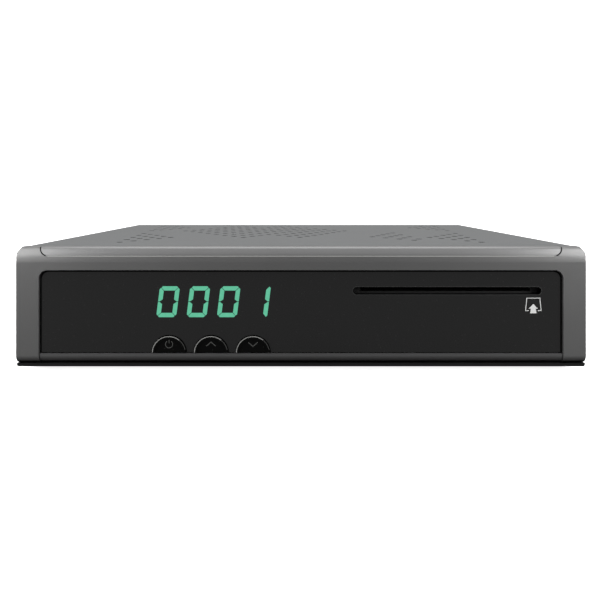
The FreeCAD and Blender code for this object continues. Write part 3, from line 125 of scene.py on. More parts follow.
class Graph:
    """A node tree in the making."""

    def __init__(self, tree):
        self.tree = tree

    def node(self, kind, settings=None, inputs=None):
        """Add any node: its settings first, then the values or links of its sockets."""
        made = self.tree.nodes.new(kind)
        for name, setting in (settings or {}).items():
            if name == "stops":
                self.set_stops(made.color_ramp, setting)
            else:
                setattr(made, name, setting)
        for key, given in (inputs or {}).items():
            if isinstance(given, Wire):
                self.tree.links.new(given.socket, made.inputs[key])
            else:
                made.inputs[key].default_value = given
        return Made(self, made)

    @staticmethod
    def set_stops(ramp, stops):
        """Give a colour ramp its places and greys."""
        for place, grey in stops[2:]:
            ramp.elements.new(place)
        for element, (place, grey) in zip(ramp.elements, stops):
            element.position = place
            element.color = (grey, grey, grey, 1.0)


class Finish(Graph):
    """A surface finish with one principled shader."""

    def __init__(self, name, **constants):
        self.material = bpy.data.materials.new(name)
        self.material.use_nodes = True
        super().__init__(self.material.node_tree)
        self.tree.nodes.clear()
        self.shader = self.tree.nodes.new("ShaderNodeBsdfPrincipled")
        output = self.tree.nodes.new("ShaderNodeOutputMaterial")
        self.tree.links.new(self.shader.outputs[0], output.inputs["Surface"])
        for name, given in constants.items():
            self.shader.inputs[name.replace("_", " ")].default_value = given
        self.place = self.node("ShaderNodeTexCoord")["Object"]

    def feed(self, name, wire):
        """Let a wire drive one input of the shader."""
        self.tree.links.new(wire.socket, self.shader.inputs[name])

    def noise(self, size, detail=2.0, stretch=(1.0, 1.0, 1.0)):
        """Soft noise whose grains are about the given size in metres."""
        place = self.place
        if stretch != (1.0, 1.0, 1.0):
            place = self.node("ShaderNodeMapping", {}, {"Vector": place, "Scale": stretch})[0]
        return self.node("ShaderNodeTexNoise", {}, {
            "Vector": place, "Scale": 1.0 / size, "Detail": detail, "Roughness": 0.55})[0]

    def cells(self, size):
        """One random value for each cell of the given size."""
        colour = self.node("ShaderNodeTexVoronoi", {}, {
            "Vector": self.place, "Scale": 1.0 / size})["Color"]
        return self.node("ShaderNodeSeparateColor", {}, {0: colour})[0]

    def mix(self, factor, first, second):
        """A colour between two others."""
        return self.node("ShaderNodeMix", {"data_type": "RGBA"}, {0: factor, 6: first, 7: second})[2]

    def relief(self, height, depth):
        """Let a height in metres stand out of the surface."""
        bump = self.node("ShaderNodeBump", {}, {
            "Strength": 1.0, "Distance": depth, "Height": height})[0]
        self.feed("Normal", bump)


def shade(colour, factor):
    """A colour made lighter or darker, with its alpha."""
    return tuple(min(1.0, channel * factor) for channel in colour[:3]) + (1.0,)


# Finishes


def moulded(name, colour, roughness=0.45, grain=0.35 * MM, depth=0.006 * MM, metallic=0.0, foot=None):
    """Moulded plastic: grain, faint mottling and uneven gloss; below its foot, painted shade makes it near
    black.
    """
    finish = Finish(name, Coat_Roughness=0.15, Metallic=metallic)
    broad = finish.noise(14 * MM, 3.0)
    fine = finish.noise(grain, 3.0)
    paint = finish.mix(broad * 0.7 + fine * 0.3, shade(colour, 0.95), shade(colour, 1.05))
    if foot is not None:
        # Painted shade: below the foot height the plastic is made near black, for the shade under the front.
        height = finish.node("ShaderNodeSeparateXYZ", {}, {0: finish.place})[2]
        paint = finish.mix(height.above(foot), shade(colour, 0.12), paint)
    finish.feed("Base Color", paint)
    finish.feed("Roughness", roughness - 0.06 + broad * 0.08 + fine * 0.05)
    finish.feed("Coat Weight", broad * 0.02)
    finish.relief(fine, depth)
    return finish.material


def glossy(name, colour, roughness=0.1, hole=None, **constants):
    """Polished plastic with faint wipe marks and the odd speck of dust; inside the box of a hole, painted
    shade makes it black and metallic.
    """
    finish = Finish(name, IOR=1.49, **constants)
    wipes = finish.noise(9 * MM, 4.0, (1.0, 1.0, 0.25))
    specks = finish.cells(0.3 * MM).above(0.994)
    paint = finish.mix(specks * 0.1, shade(colour, 1.0), (0.09, 0.09, 0.088, 1.0))
    if hole is not None:
        # Painted shade: inside the hole's box the walls are made black, so they show no light.
        low, high = hole
        axes = finish.node("ShaderNodeSeparateXYZ", {}, {0: finish.place})
        hole_shade = axes[0].above(low[0]) * (1 - axes[0].above(high[0])) * axes[1].above(low[1])
        hole_shade = hole_shade * axes[2].above(low[2]) * (1 - axes[2].above(high[2]))
        paint = finish.mix(hole_shade, paint, (0.0, 0.0, 0.0, 1.0))
        finish.feed("Metallic", hole_shade)
    finish.feed("Base Color", paint)
    finish.feed("Roughness", roughness + wipes * 0.06 + specks * 0.1)
    finish.relief(finish.noise(22 * MM, 1.0), 0.01 * MM)
    return finish.material


def painted(name, colour, box, gauge):
    """Baked paint outside a sheet steel cover; inside it and in its punched holes, painted shade makes it
    dark and rougher.
    """
    finish = Finish(name)
    peel = finish.noise(0.8 * MM, 2.0)
    nibs = finish.noise(0.22 * MM, 2.0)
    cloud = finish.noise(30 * MM, 3.0)
    outside = finish.mix(cloud * 0.6 + nibs * 0.4, shade(colour, 0.93), shade(colour, 1.07))
    axes = finish.node("ShaderNodeSeparateXYZ", {}, {0: finish.place})
    across = axes[0].math("ABSOLUTE", axes[0])
    # Painted shade: the cover's inside and the walls of its holes are made dark.
    inside = (1 - axes[2].above(box[1].z - gauge * 0.12)) * (1 - across.above(box[1].x - gauge * 0.6))
    inside = inside * (1 - axes[1].above(box[1].y - gauge * 0.6))
    finish.feed("Base Color", finish.mix(inside, outside, shade(colour, 0.1)))
    finish.feed("Roughness", 0.37 + cloud * 0.06 + nibs * 0.06 + inside * 0.3)
    finish.relief(peel * 0.6 + nibs * 0.4, 0.008 * MM)
    return finish.material


def zinc(name, colour):
    """Zinc-coated sheet with its spangle and rolling lines."""
    finish = Finish(name)
    spangle = finish.cells(5 * MM)
    rolling = finish.noise(0.5 * MM, 2.0, (0.05, 1.0, 1.0))
    finish.feed("Base Color", finish.mix(spangle * 0.7 + rolling * 0.3, shade(colour, 0.86),
                                         shade(colour, 1.08)))
    finish.feed("Metallic", 0.86 + spangle * 0.1)
    finish.feed("Roughness", 0.34 + spangle * 0.14 + rolling * 0.08)
    finish.relief(rolling, 0.004 * MM)
    return finish.material


def bare_metal(name, colour, roughness=0.22, stretch=(1.0, 0.08, 1.0)):
    """Plated or bare metal with drawn lines, slight tarnish and small scuffs."""
    finish = Finish(name)
    lines = finish.noise(0.3 * MM, 3.0, stretch)
    tarnish = finish.noise(6 * MM, 4.0)
    finish.feed("Base Color", finish.mix(tarnish, shade(colour, 0.8), shade(colour, 1.1)))
    finish.feed("Metallic", 0.93 + lines * 0.07)
    finish.feed("Roughness", roughness + tarnish * 0.12 + lines * 0.1)
    finish.relief(lines, 0.003 * MM)
    return finish.material


def board_mask(name, colour):
    """Green mask over copper: faint tracks, pads and glass cloth."""
    finish = Finish(name, Coat_Roughness=0.2)
    cloth = finish.noise(0.5 * MM, 2.0)
    tracks = finish.node("ShaderNodeTexWave", {"bands_direction": "DIAGONAL"}, {
        "Vector": finish.place, "Scale": 240.0, "Distortion": 6.0, "Detail": 1.0, "Detail Scale": 0.4})[1]
    lines = tracks.above(0.62) * finish.cells(11 * MM).above(0.35)
    pads = finish.cells(2.2 * MM).above(0.93)
    masked = finish.mix(lines, shade(colour, 1.0), shade(colour, 1.9))
    finish.feed("Base Color", finish.mix(pads, masked, (0.60, 0.58, 0.50, 1.0)))
    finish.feed("Metallic", pads * 0.8)
    finish.feed("Roughness", 0.38 + cloth * 0.12)
    finish.feed("Coat Weight", 0.5 - pads * 0.4)
    finish.relief(lines + pads + cloth * 0.3, 0.03 * MM)
    return finish.material


def shadow_gap(name, colour):
    """Painted shade for a narrow gap: matt, dusty and without sheen."""
    finish = Finish(name, Specular_IOR_Level=0.05)
    dust = finish.noise(0.6 * MM, 3.0)
    finish.feed("Base Color", finish.mix(dust, shade(colour, 0.7), shade(colour, 1.4)))
    finish.feed("Roughness", 0.85 + dust * 0.1)
    return finish.material


def rubber(name, colour):
    """Matt rubber with a dusty bloom."""
    finish = Finish(name)
    bloom = finish.noise(2.5 * MM, 5.0)
    fine = finish.noise(0.25 * MM, 2.0)
    finish.feed("Base Color", finish.mix(bloom, shade(colour, 0.8), shade(colour, 1.7)))
    finish.feed("Roughness", 0.72 + bloom * 0.18)
    finish.relief(fine, 0.02 * MM)
    return finish.material


def lit(name, colour):
    """A lit display segment, slightly uneven like its light guide."""
    finish = Finish(name, Base_Color=(0.004, 0.02, 0.014, 1.0), Roughness=0.3, Emission_Strength=1.0)
    patch = finish.noise(1.1 * MM, 2.0)
    finish.feed("Emission Color", finish.mix(patch, shade(colour, 0.82), shade(colour, 1.14)))
    return finish.material


def print_and_highlight(name, colour, roughness=0.5):
    """Screen-printed ink with slightly uneven cover; also the finish of the painted highlights."""
    finish = Finish(name)
    cover = finish.noise(0.2 * MM, 3.0)
    finish.feed("Base Color", finish.mix(cover, shade(colour, 0.86), shade(colour, 1.05)))
    finish.feed("Roughness", roughness + cover * 0.1)
    finish.relief(cover, 0.004 * MM)
    return finish.material


# Meshes


def keep(name, mesh, material, body):
    """Link a finished mesh, give it its material and let it ride on its body."""
    piece = bpy.data.objects.new(name, mesh)
    bpy.context.scene.collection.objects.link(piece)
    if material is not None:
        mesh.materials.clear()
        mesh.materials.append(material)
    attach(piece, body)
    return piece


def raised(name, outlines, front, thickness, material, body):
    """Flat shapes in the front view, given a thickness; their face looks forwards."""
    shapes = bmesh.new()
    for outline in outlines:
        corners = [shapes.verts.new((x, front, z)) for x, z in outline]
        shapes.faces.new(corners)
    grown = bmesh.ops.extrude_face_region(shapes, geom=list(shapes.faces))
    moved = [part for part in grown["geom"] if isinstance(part, bmesh.types.BMVert)]
    bmesh.ops.translate(shapes, verts=moved, vec=(0, thickness, 0))
    bmesh.ops.recalc_face_normals(shapes, faces=list(shapes.faces))
    mesh = bpy.data.meshes.new(name)
    shapes.to_mesh(mesh)
    shapes.free()
    return keep(name, mesh, material, body)


def front_surface(*nodes):
    """A finder of the depth at which CAD nodes, gaps bridged, first meet a line of sight along Y."""
    trees = []
    for node in nodes:
        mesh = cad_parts[node].data
        trees.append(BVHTree.FromPolygons([corner.co.copy() for corner in mesh.vertices],
                                          [tuple(face.vertices) for face in mesh.polygons]))

    bridge = 0.25 * MM

    def depth_at(x, z):
        found = []
        for aside, up in ((0, 0), (-bridge, 0), (bridge, 0), (0, -bridge)):
            start = Vector((x + aside, CAD_BOX[0][1] - 10 * MM, z + up))
            hits = [tree.ray_cast(start, Vector((0, 1, 0)))[0] for tree in trees]
            found += [hit.y for hit in hits if hit is not None]
        return min(found)
    return depth_at


def draped(name, outlines, depth_at, proud, material, body):
    """Flat shapes laid on a curved front surface, proud of it by one measure and sunk in by two."""
    piece = raised(name, outlines, 0.0, proud * 3, material, body)
    for corner in piece.data.vertices:
        sunk = corner.co.y > proud
        corner.co.y = depth_at(corner.co.x, corner.co.z) + (proud * 2 if sunk else -proud)
    return piece


def ribbon(points, width, closed=False):
    """The quads of a line of the given width with mitred corners."""
    spots = [Vector(point) for point in points]
    count, sharpest = len(spots), 0.3
    sides = []
    for index, spot in enumerate(spots):
        before = spots[index - 1] if closed or index else spot
        after = spots[(index + 1) % count] if closed or index < count - 1 else spot
        inward = (spot - before).normalized() if before != spot else (after - spot).normalized()
        outward = (after - spot).normalized() if after != spot else inward
        across = Vector((-(inward + outward).y, (inward + outward).x)).normalized()
        reach = width / 2 / max(sharpest, across.dot(Vector((-outward.y, outward.x))))
        sides.append((spot + across * reach, spot - across * reach))
    pairs = list(zip(sides, sides[1:] + (sides[:1] if closed else [])))
    return [(a[0], a[1], b[1], b[0]) for a, b in pairs]


def arc(centre, radius, start, end, steps=24):
    """Points along a circular arc; angles in degrees, counted from the right."""
    angles = [math.radians(start + (end - start) * step / steps) for step in range(steps + 1)]
    return [(centre[0] + radius * math.cos(a), centre[1] + radius * math.sin(a)) for a in angles]


def segment_shapes(width, height, thick, cut, gap):
    """The six outer segments of one upright digit, by their usual letters, from its lower left corner."""
    half = height / 2
    point, shoulder = thick * 0.35, half + thick * 0.55
    top = [(cut + gap, height), (width - cut - gap, height), (width - cut / 2 - gap, height - cut / 2),
           (width - thick - gap, height - thick), (thick + gap, height - thick),
           (cut / 2 + gap, height - cut / 2)]
    side = [(0, height - cut - gap), (cut / 2, height - cut / 2 - gap), (thick, height - thick - gap),
            (thick, shoulder), (point, half + gap), (0, half + gap)]

    def across(shape):
        return [(width - x, z) for x, z in reversed(shape)]

    def down(shape):
        return [(x, height - z) for x, z in reversed(shape)]

    return {"a": top, "b": across(side), "c": down(across(side)), "d": down(top), "e": down(side), "f": side}


LIT_SEGMENTS = {"0": "abcdef", "1": "bc"}


class Growth(Graph):
    """A geometry tree whose named inputs hold its sizes and which ends in one plain mesh."""

    def __init__(self, name, sizes, material):
        super().__init__(bpy.data.node_groups.new(name, "GeometryNodeTree"))
        self.material = material
        self.given = {}
        self.tree.interface.new_socket("Geometry", in_out="INPUT", socket_type="NodeSocketGeometry")
        self.tree.interface.new_socket("Geometry", in_out="OUTPUT", socket_type="NodeSocketGeometry")
        kinds = {int: "NodeSocketInt", float: "NodeSocketFloat", tuple: "NodeSocketVector"}
        for size, given in sizes.items():
            socket = self.tree.interface.new_socket(size, in_out="INPUT", socket_type=kinds[type(given)])
            self.given[socket.identifier] = given
        self.source = self.node("NodeGroupInput")

    def size(self, name):
        """One of the tree's inputs."""
        return self.source[name]

    def end(self, geometry):
        """Close the tree: realize, shade and set the material."""
        real = self.node("GeometryNodeRealizeInstances", {}, {0: geometry})[0]
        shaded = self.node("GeometryNodeSetShadeSmooth", {}, {"Geometry": real, "Shade Smooth": False})[0]
        painted_part = self.node("GeometryNodeSetMaterial", {}, {
            "Geometry": shaded, "Material": self.material})[0]
        output = self.tree.nodes.new("NodeGroupOutput")
        self.tree.links.new(painted_part.socket, output.inputs[0])

    def grow(self, name, points, body, slot=None):
        """Run the tree on loose points and keep its result as a plain mesh."""
        seed = bpy.data.meshes.new(name + "_seed")
        seed.from_pydata([tuple(point) for point in points], [], [])
        carrier = bpy.data.objects.new(name + "_seed", seed)
        bpy.context.scene.collection.objects.link(carrier)
        modifier = carrier.modifiers.new("Growth", "NODES")
        modifier.node_group = self.tree
        for identifier, given in self.given.items():
            modifier[identifier] = given
        seen = carrier.evaluated_get(bpy.context.evaluated_depsgraph_get())
        mesh = bpy.data.meshes.new_from_object(seen)
        carrier.modifiers.remove(modifier)
        bpy.data.objects.remove(carrier)
        if not len(mesh.polygons):
            raise RuntimeError(f"{name} grew no faces")
        mesh.name = name
        return keep(name, mesh, None, body)


def turn_to(axis):
    """The turn that lays +Z along an axis, as the tree's Euler angles."""
    return {"y": (-math.pi / 2, 0.0, 0.0), "-z": (math.pi, 0.0, 0.0)}[axis]


def screw_growth(name, head_radius, head_height, shank_radius, shank_length, axis, material):
    """A tree that sets one cross-recessed pan screw on every point, its head towards the axis."""
    seam = 0.01 * MM
    recess, fit, top = 0.26, 0.75, 0.8      # recess width, its fit and the head's top, as shares
    bar_height, lift_share = 1.1, 0.95      # shares of the head's height
    growth = Growth(name, {
        "Head radius": head_radius, "Head height": head_height, "Shank radius": shank_radius,
        "Shank length": shank_length, "Recess width": head_radius * recess, "Turn": turn_to(axis)}, material)
    head = growth.node("GeometryNodeMeshCone", {}, {
        "Vertices": 40, "Side Segments": 3, "Radius Top": growth.size("Head radius") * top,
        "Radius Bottom": growth.size("Head radius"), "Depth": growth.size("Head height")})[0]
    bars = []
    for along, across in ((6.0, 1.0), (1.0, 6.0)):
        size = growth.node("ShaderNodeCombineXYZ", {}, {
            0: growth.size("Recess width") * along * fit, 1: growth.size("Recess width") * across * fit,
            2: growth.size("Head height") * bar_height})[0]
        bars.append(growth.node("GeometryNodeMeshCube", {}, {"Size": size})[0])
    lift = growth.node("ShaderNodeCombineXYZ", {}, {2: growth.size("Head height") * lift_share})[0]
    cross = growth.node("GeometryNodeJoinGeometry")
    for bar in bars:
        growth.tree.links.new(bar.socket, cross.made.inputs[0])
    raised_cross = growth.node("GeometryNodeTransform", {}, {"Geometry": cross[0], "Translation": lift})[0]
    recessed = growth.node("GeometryNodeMeshBoolean", {"operation": "DIFFERENCE"}, {"Mesh 1": head})
    growth.tree.links.new(raised_cross.socket, recessed.made.inputs["Mesh 2"])
    shank = growth.node("GeometryNodeMeshCylinder", {}, {
        "Vertices": 20, "Radius": growth.size("Shank radius"), "Depth": growth.size("Shank length")})[0]
    down = growth.node("ShaderNodeCombineXYZ", {}, {2: growth.size("Shank length") * -0.5 - seam})[0]
    sunk = growth.node("GeometryNodeTransform", {}, {"Geometry": shank, "Translation": down})[0]
    screw = growth.node("GeometryNodeJoinGeometry")
    for part in (recessed[0], sunk):
        growth.tree.links.new(part.socket, screw.made.inputs[0])
    placed = growth.node("GeometryNodeInstanceOnPoints", {}, {
        "Points": growth.size("Geometry"), "Instance": screw[0], "Rotation": growth.size("Turn")})[0]
    growth.end(placed)
    return growth


def row_growth(name, count, pitch, block, material):
    """A tree that sets a centred row of equal blocks along X on every point."""
    growth = Growth(name, {"Count": count, "Pitch": pitch, "Block": block}, material)
    reach = (growth.size("Count") - 1) * growth.size("Pitch") * -0.5
    start = growth.node("ShaderNodeCombineXYZ", {}, {0: reach})[0]
    step = growth.node("ShaderNodeCombineXYZ", {}, {0: growth.size("Pitch")})[0]
    line = growth.node("GeometryNodeMeshLine", {"mode": "OFFSET"}, {
        "Count": growth.size("Count"), "Start Location": start, "Offset": step})[0]
    cube = growth.node("GeometryNodeMeshCube", {}, {"Size": growth.size("Block")})[0]
    row = growth.node("GeometryNodeInstanceOnPoints", {}, {"Points": line, "Instance": cube})[0]
    placed = growth.node("GeometryNodeInstanceOnPoints", {}, {
        "Points": growth.size("Geometry"), "Instance": row})[0]
    growth.end(placed)
    return growth


def thread_growth(name, root, pitch, length, turns, material):
    """A tree that winds one thread along Y from every point, round a plain tube."""
    growth = Growth(name, {"Root radius": root, "Pitch": pitch, "Length": length, "Turns": turns,
                           "Turn": turn_to("y")}, material)
    winding = growth.node("GeometryNodeCurveSpiral", {}, {
        "Resolution": 40, "Rotations": growth.size("Turns"), "Start Radius": growth.size("Root radius"),
        "End Radius": growth.size("Root radius"), "Height": growth.size("Length")})[0]
    ridge = growth.node("GeometryNodeCurvePrimitiveCircle", {}, {
        "Resolution": 3, "Radius": growth.size("Pitch") * 0.52})[0]
    thread = growth.node("GeometryNodeCurveToMesh", {}, {
        "Curve": winding, "Profile Curve": ridge, "Fill Caps": True})[0]
    placed = growth.node("GeometryNodeInstanceOnPoints", {}, {
        "Points": growth.size("Geometry"), "Instance": thread, "Rotation": growth.size("Turn")})[0]
    growth.end(placed)
    return growth


# Settings a user may change


def tint(name, about, default):
    """A colour that a user may change."""
    return FloatVectorProperty(name=name, description=about, subtype="COLOR", size=3, default=default,
                               min=0, max=1)


def distance(name, about, default):
    """A length that a user may change."""
    return FloatProperty(name=name, description=about, subtype="DISTANCE", unit="LENGTH", default=default)


def watts(name, about, default):
    """A light's power that a user may change."""
    return FloatProperty(name=name, description=about, default=default, min=0)


class FrontSettings(bpy.types.PropertyGroup):
    """Colours and finishes of the front."""

    bezel: tint("Bezel", "Colour of the moulded bezel", (0.165, 0.165, 0.164))
    # The strip's grey is a little lighter than the bezel's: painted light, for the overhead light that its
    # crown catches.
    trim: tint("Trim", "Colour of the strip in the top edge", (0.19, 0.19, 0.19))
    bar: tint("Bar", "Colour of the bar under the panel", (0.13, 0.13, 0.13))
    metallic: FloatProperty(name="Metallic", description="Share of metal flake in the grey of the front",
                            subtype="FACTOR", default=0.6, min=0, max=1)
    # The lip's black below the foot is painted shade, for the shade under the bar.
    foot: distance("Foot", "How far below the panel the lip's black starts", 2.6 * MM)
    panel: tint("Panel", "Colour of the glossy panel", (0.008, 0.008, 0.008))
    corner: distance("Corner", "Corner radius of the panel and of the strip", 2.7 * MM)
    slot_middle: FloatVectorProperty(name="Slot middle", description="Where the card slot's middle is",
                                     unit="LENGTH", size=2, default=(46.8 * MM, 26.3 * MM))
    slot_length: distance("Slot length", "Length of the card slot's bevel", 60.1 * MM)
    slot_height: distance("Slot height", "Height of the card slot's bevel", 2.2 * MM)
    # The line round the slot is a painted highlight of the lit edge of the slot's bevel.
    slot_ring: tint("Slot ring", "Colour of the fine line round the slot", (0.03, 0.03, 0.03))
    panel_gap: distance("Panel gap", "Width of the dark gap round the panel", 0.5 * MM)
    strip_gap: distance("Strip gap", "Width of the gap round the strip", 0.3 * MM)
    # The strip's bright lower edge is a painted highlight, for the light on the bezel's groove edge.
    edge: tint("Strip edge", "Colour of the strip's bright lower edge", (0.30, 0.30, 0.29))
    # The line round each button is a painted highlight of the light on its edge.
    rim: tint("Button rim", "Colour of the printed line round each button", (0.30, 0.30, 0.29))
    rim_width: distance("Rim width", "Width of the line round each button", 0.27 * MM)
    rim_inset: distance("Rim inset", "How far inside a button's edge its line is", 0.92 * MM)


class DisplaySettings(bpy.types.PropertyGroup):
    """The lit digits."""

    glow: tint("Glow", "Colour of a lit segment", (0.115, 0.50, 0.31))
    digit_height: distance("Digit height", "Height of a digit", 9.9 * MM)
    digit_width: distance("Digit width", "Width of an upright digit", 6.4 * MM)
    pitch: distance("Digit pitch", "Distance from digit to digit", 9.7 * MM)
    stroke: distance("Stroke", "Thickness of a segment", 1.38 * MM)
    cut: distance("Corner cut", "How much is cut off a digit's corners", 0.85 * MM)
    break_width: distance("Break", "Width of the dark break between segments", 0.1 * MM)
    offset: distance("Offset", "How far right of its window's middle the reading is", -0.28 * MM)
    slant: FloatProperty(name="Slant", description="Lean of the digits", subtype="ANGLE",
                         unit="ROTATION", default=math.radians(7.2))


class SymbolSettings(bpy.types.PropertyGroup):
    """The printed symbols."""

    dim: tint("Button symbols", "Colour of the symbols on the buttons", (0.07, 0.07, 0.068))
    bright: tint("Card symbol", "Colour of the symbol under the slot", (0.78, 0.78, 0.77))
    line: distance("Line", "Width of a symbol's line", 0.3 * MM)
    card_place: FloatVectorProperty(
        name="Card symbol place", description="How far in from the panel's right and top edges the symbol is",
        unit="LENGTH", size=2, default=(9.1 * MM, 10.9 * MM))


class CabinetSettings(bpy.types.PropertyGroup):
    """The steel cabinet and its rear."""

    paint: tint("Cover paint", "Colour of the painted cover", (0.105, 0.108, 0.11))
    gauge: distance("Sheet gauge", "Thickness of the cover's steel", 0.8 * MM)
    zinc: tint("Zinc", "Colour of the zinc-coated sheet", (0.55, 0.56, 0.57))
    thread_pitch: distance("Thread pitch", "Pitch of the aerial sockets' thread", 0.794 * MM)
    thread_depth: distance("Thread depth", "How deep the aerial sockets' thread is cut", 0.4 * MM)
    aerial_bore: distance("Aerial bore", "Bore radius of an aerial socket's barrel", 3.1 * MM)


class StageSettings(bpy.types.PropertyGroup):
    """Camera and light."""

    camera: FloatVectorProperty(name="Camera", description="Where the camera stands", subtype="XYZ",
                                unit="LENGTH", size=3,
                                default=(-1.6 * MM, BEZEL[0][1] - 167.1 * MM, 57 * MM))
    lens: FloatProperty(name="Lens", description="Focal length in millimetres", default=31.48, min=1)
    shift: FloatVectorProperty(name="Shift", description="Lens shift across and up", size=2,
                               default=(0.0067, -0.1753))
    overhead: watts("Overhead light", "Power of the light above, in watts", 2.6)
    behind: watts("Light behind", "Power of the light behind, in watts", 0.35)
    sides: watts("Side lights", "Power of each light at the sides, in watts", 0.2)


# One operator for each piece or group of like pieces


def repaint(node, material):
    """Give a CAD node its finish."""
    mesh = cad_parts[node].data
    if not mesh.materials:
        mesh.materials.append(material)
    for index in range(len(mesh.materials)):
        mesh.materials[index] = material


class RECEIVER_OT_front(bpy.types.Operator):
    """Finish the bezel, its trim, the glossy panel and the bar below it"""

    bl_idname = "receiver.front"
    bl_label = "Front"

    def execute(self, context):
        look = context.scene.receiver_front
        # Below this height the bezel's lip and the bar's lower edge are painted near black: painted shade.
        foot = PANEL[0].z - look.foot
        repaint("bezel_frame", moulded("bezel_moulding", look.bezel, roughness=0.38, metallic=look.metallic,
                                       foot=foot))
        repaint("top_trim_strip", moulded("trim_strip", look.trim, roughness=0.32, depth=0.003 * MM,
                                          metallic=look.metallic))
        repaint("lower_trim_bar", moulded("trim_bar", look.bar, roughness=0.36, depth=0.003 * MM,
                                          metallic=look.metallic, foot=foot))
        # The slot's walls inside this box get painted shade.
        middle, half = look.slot_middle, (look.slot_length / 2, look.slot_height / 2)
        skin = 0.02 * MM
        hole_shade = ((middle[0] - half[0], PANEL[0].y + skin, middle[1] - half[1]),
                (middle[0] + half[0], PANEL[1].y, middle[1] + half[1]))
        repaint("front_panel", glossy("panel_gloss", look.panel, hole=hole_shade))
        return {"FINISHED"}


class RECEIVER_OT_seams(bpy.types.Operator):
    """Lay painted shade in the gaps round the panel, the slot and the strip, and painted highlights round the
    slot and along the strip's lower edge
    """

    bl_idname = "receiver.seams"
    bl_label = "Seams"

    def execute(self, context):
        look = context.scene.receiver_front
        dark = shadow_gap("gap_shadow", (0.003, 0.003, 0.003))
        front, thick = PANEL[0].y - 0.01 * MM, 0.03 * MM
        corner, half, top = look.corner, PANEL[1].x, PANEL[1].z
        inset = look.panel_gap / 2
        # Painted shade: a dark ribbon in the gap round the panel.
        frame_line = [(-half + inset, PANEL[0].z)]
        frame_line += arc((-half + corner, top - corner), corner - inset, 180, 90, 10)
        frame_line += arc((half - corner, top - corner), corner - inset, 90, 0, 10)
        frame_line.append((half - inset, PANEL[0].z))
        raised("panel_gap", ribbon(frame_line, look.panel_gap), front, thick, dark, "cabinet")
        slot, radius = look.slot_middle, look.slot_height / 2
        reach = look.slot_length / 2 - radius
        # Round the slot: a ribbon of painted shade, then a painted highlight of the bevel's edge.
        for name, width, finish in (("slot_shadow", 0.14 * MM, dark),
                                    ("slot_ring", 0.13 * MM, print_and_highlight("ring_print", look.slot_ring))):
            line = arc((slot[0] + reach, slot[1]), radius + width / 2, 90, -90, 16)
            line += arc((slot[0] - reach, slot[1]), radius + width / 2, 270, 90, 16)
            raised(name, ribbon(line, width, closed=True), front, thick, finish, "cabinet")
            radius += width
        depth_at = front_surface("bezel_frame", "top_trim_strip")
        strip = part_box("top_trim_strip")
        # Painted shade: dark ribbons in the curved gaps at the strip's ends.
        for side in (-1, 1):
            start = 90 - 90 * side
            centre = (side * (strip[1].x - corner), strip[0].z + corner)
            bend = arc(centre, corner, start, start - 75 * side, 10)
            draped(f"strip_gap_{side + 1}", ribbon(bend, look.strip_gap), depth_at, 0.015 * MM, dark,
                   "cabinet")
        # A painted highlight along the strip's lower edge.
        level = strip[0].z - look.strip_gap / 2
        reach, steps = strip[1].x - corner, 60
        spots = [(reach * (2 * step / steps - 1), level) for step in range(steps + 1)]
        draped("strip_edge", ribbon(spots, look.strip_gap), depth_at, 0.02 * MM,
               print_and_highlight("edge_light", look.edge), "cabinet")
        return {"FINISHED"}


class RECEIVER_OT_digits(bpy.types.Operator):
    """Make the four lit digits that show through the panel"""

    bl_idname = "receiver.digits"
    bl_label = "Lit digits"

    reading = "0001"

    def execute(self, context):
        look = context.scene.receiver_display
        shapes = segment_shapes(look.digit_width, look.digit_height, look.stroke, look.cut, look.break_width)
        lean = math.tan(look.slant)
        middle = (DISPLAY[0] + DISPLAY[1]) / 2
        span = look.pitch * (len(self.reading) - 1)
        half = look.digit_height / 2
        rise, thick = 0.03 * MM, 0.05 * MM
        outlines = []
        for place, digit in enumerate(self.reading):
            left = middle.x + look.offset - span / 2 + place * look.pitch - look.digit_width / 2
            # A 1 has no top or bottom segment, so its sides are drawn out to the full height.
            stretch = half / (half - look.cut / 2) if digit == "1" else 1.0
            for letter in LIT_SEGMENTS[digit]:
                rises = [(x, (z - half) * stretch) for x, z in shapes[letter]]
                outlines.append([(left + x + z * lean, middle.z + z) for x, z in rises])
        raised("lit_digits", outlines, PANEL[0].y - rise, thick, lit("lit_segment", look.glow), "cabinet")
        repaint("digit_display", glossy("display_module", (0.02, 0.02, 0.02)))
        return {"FINISHED"}


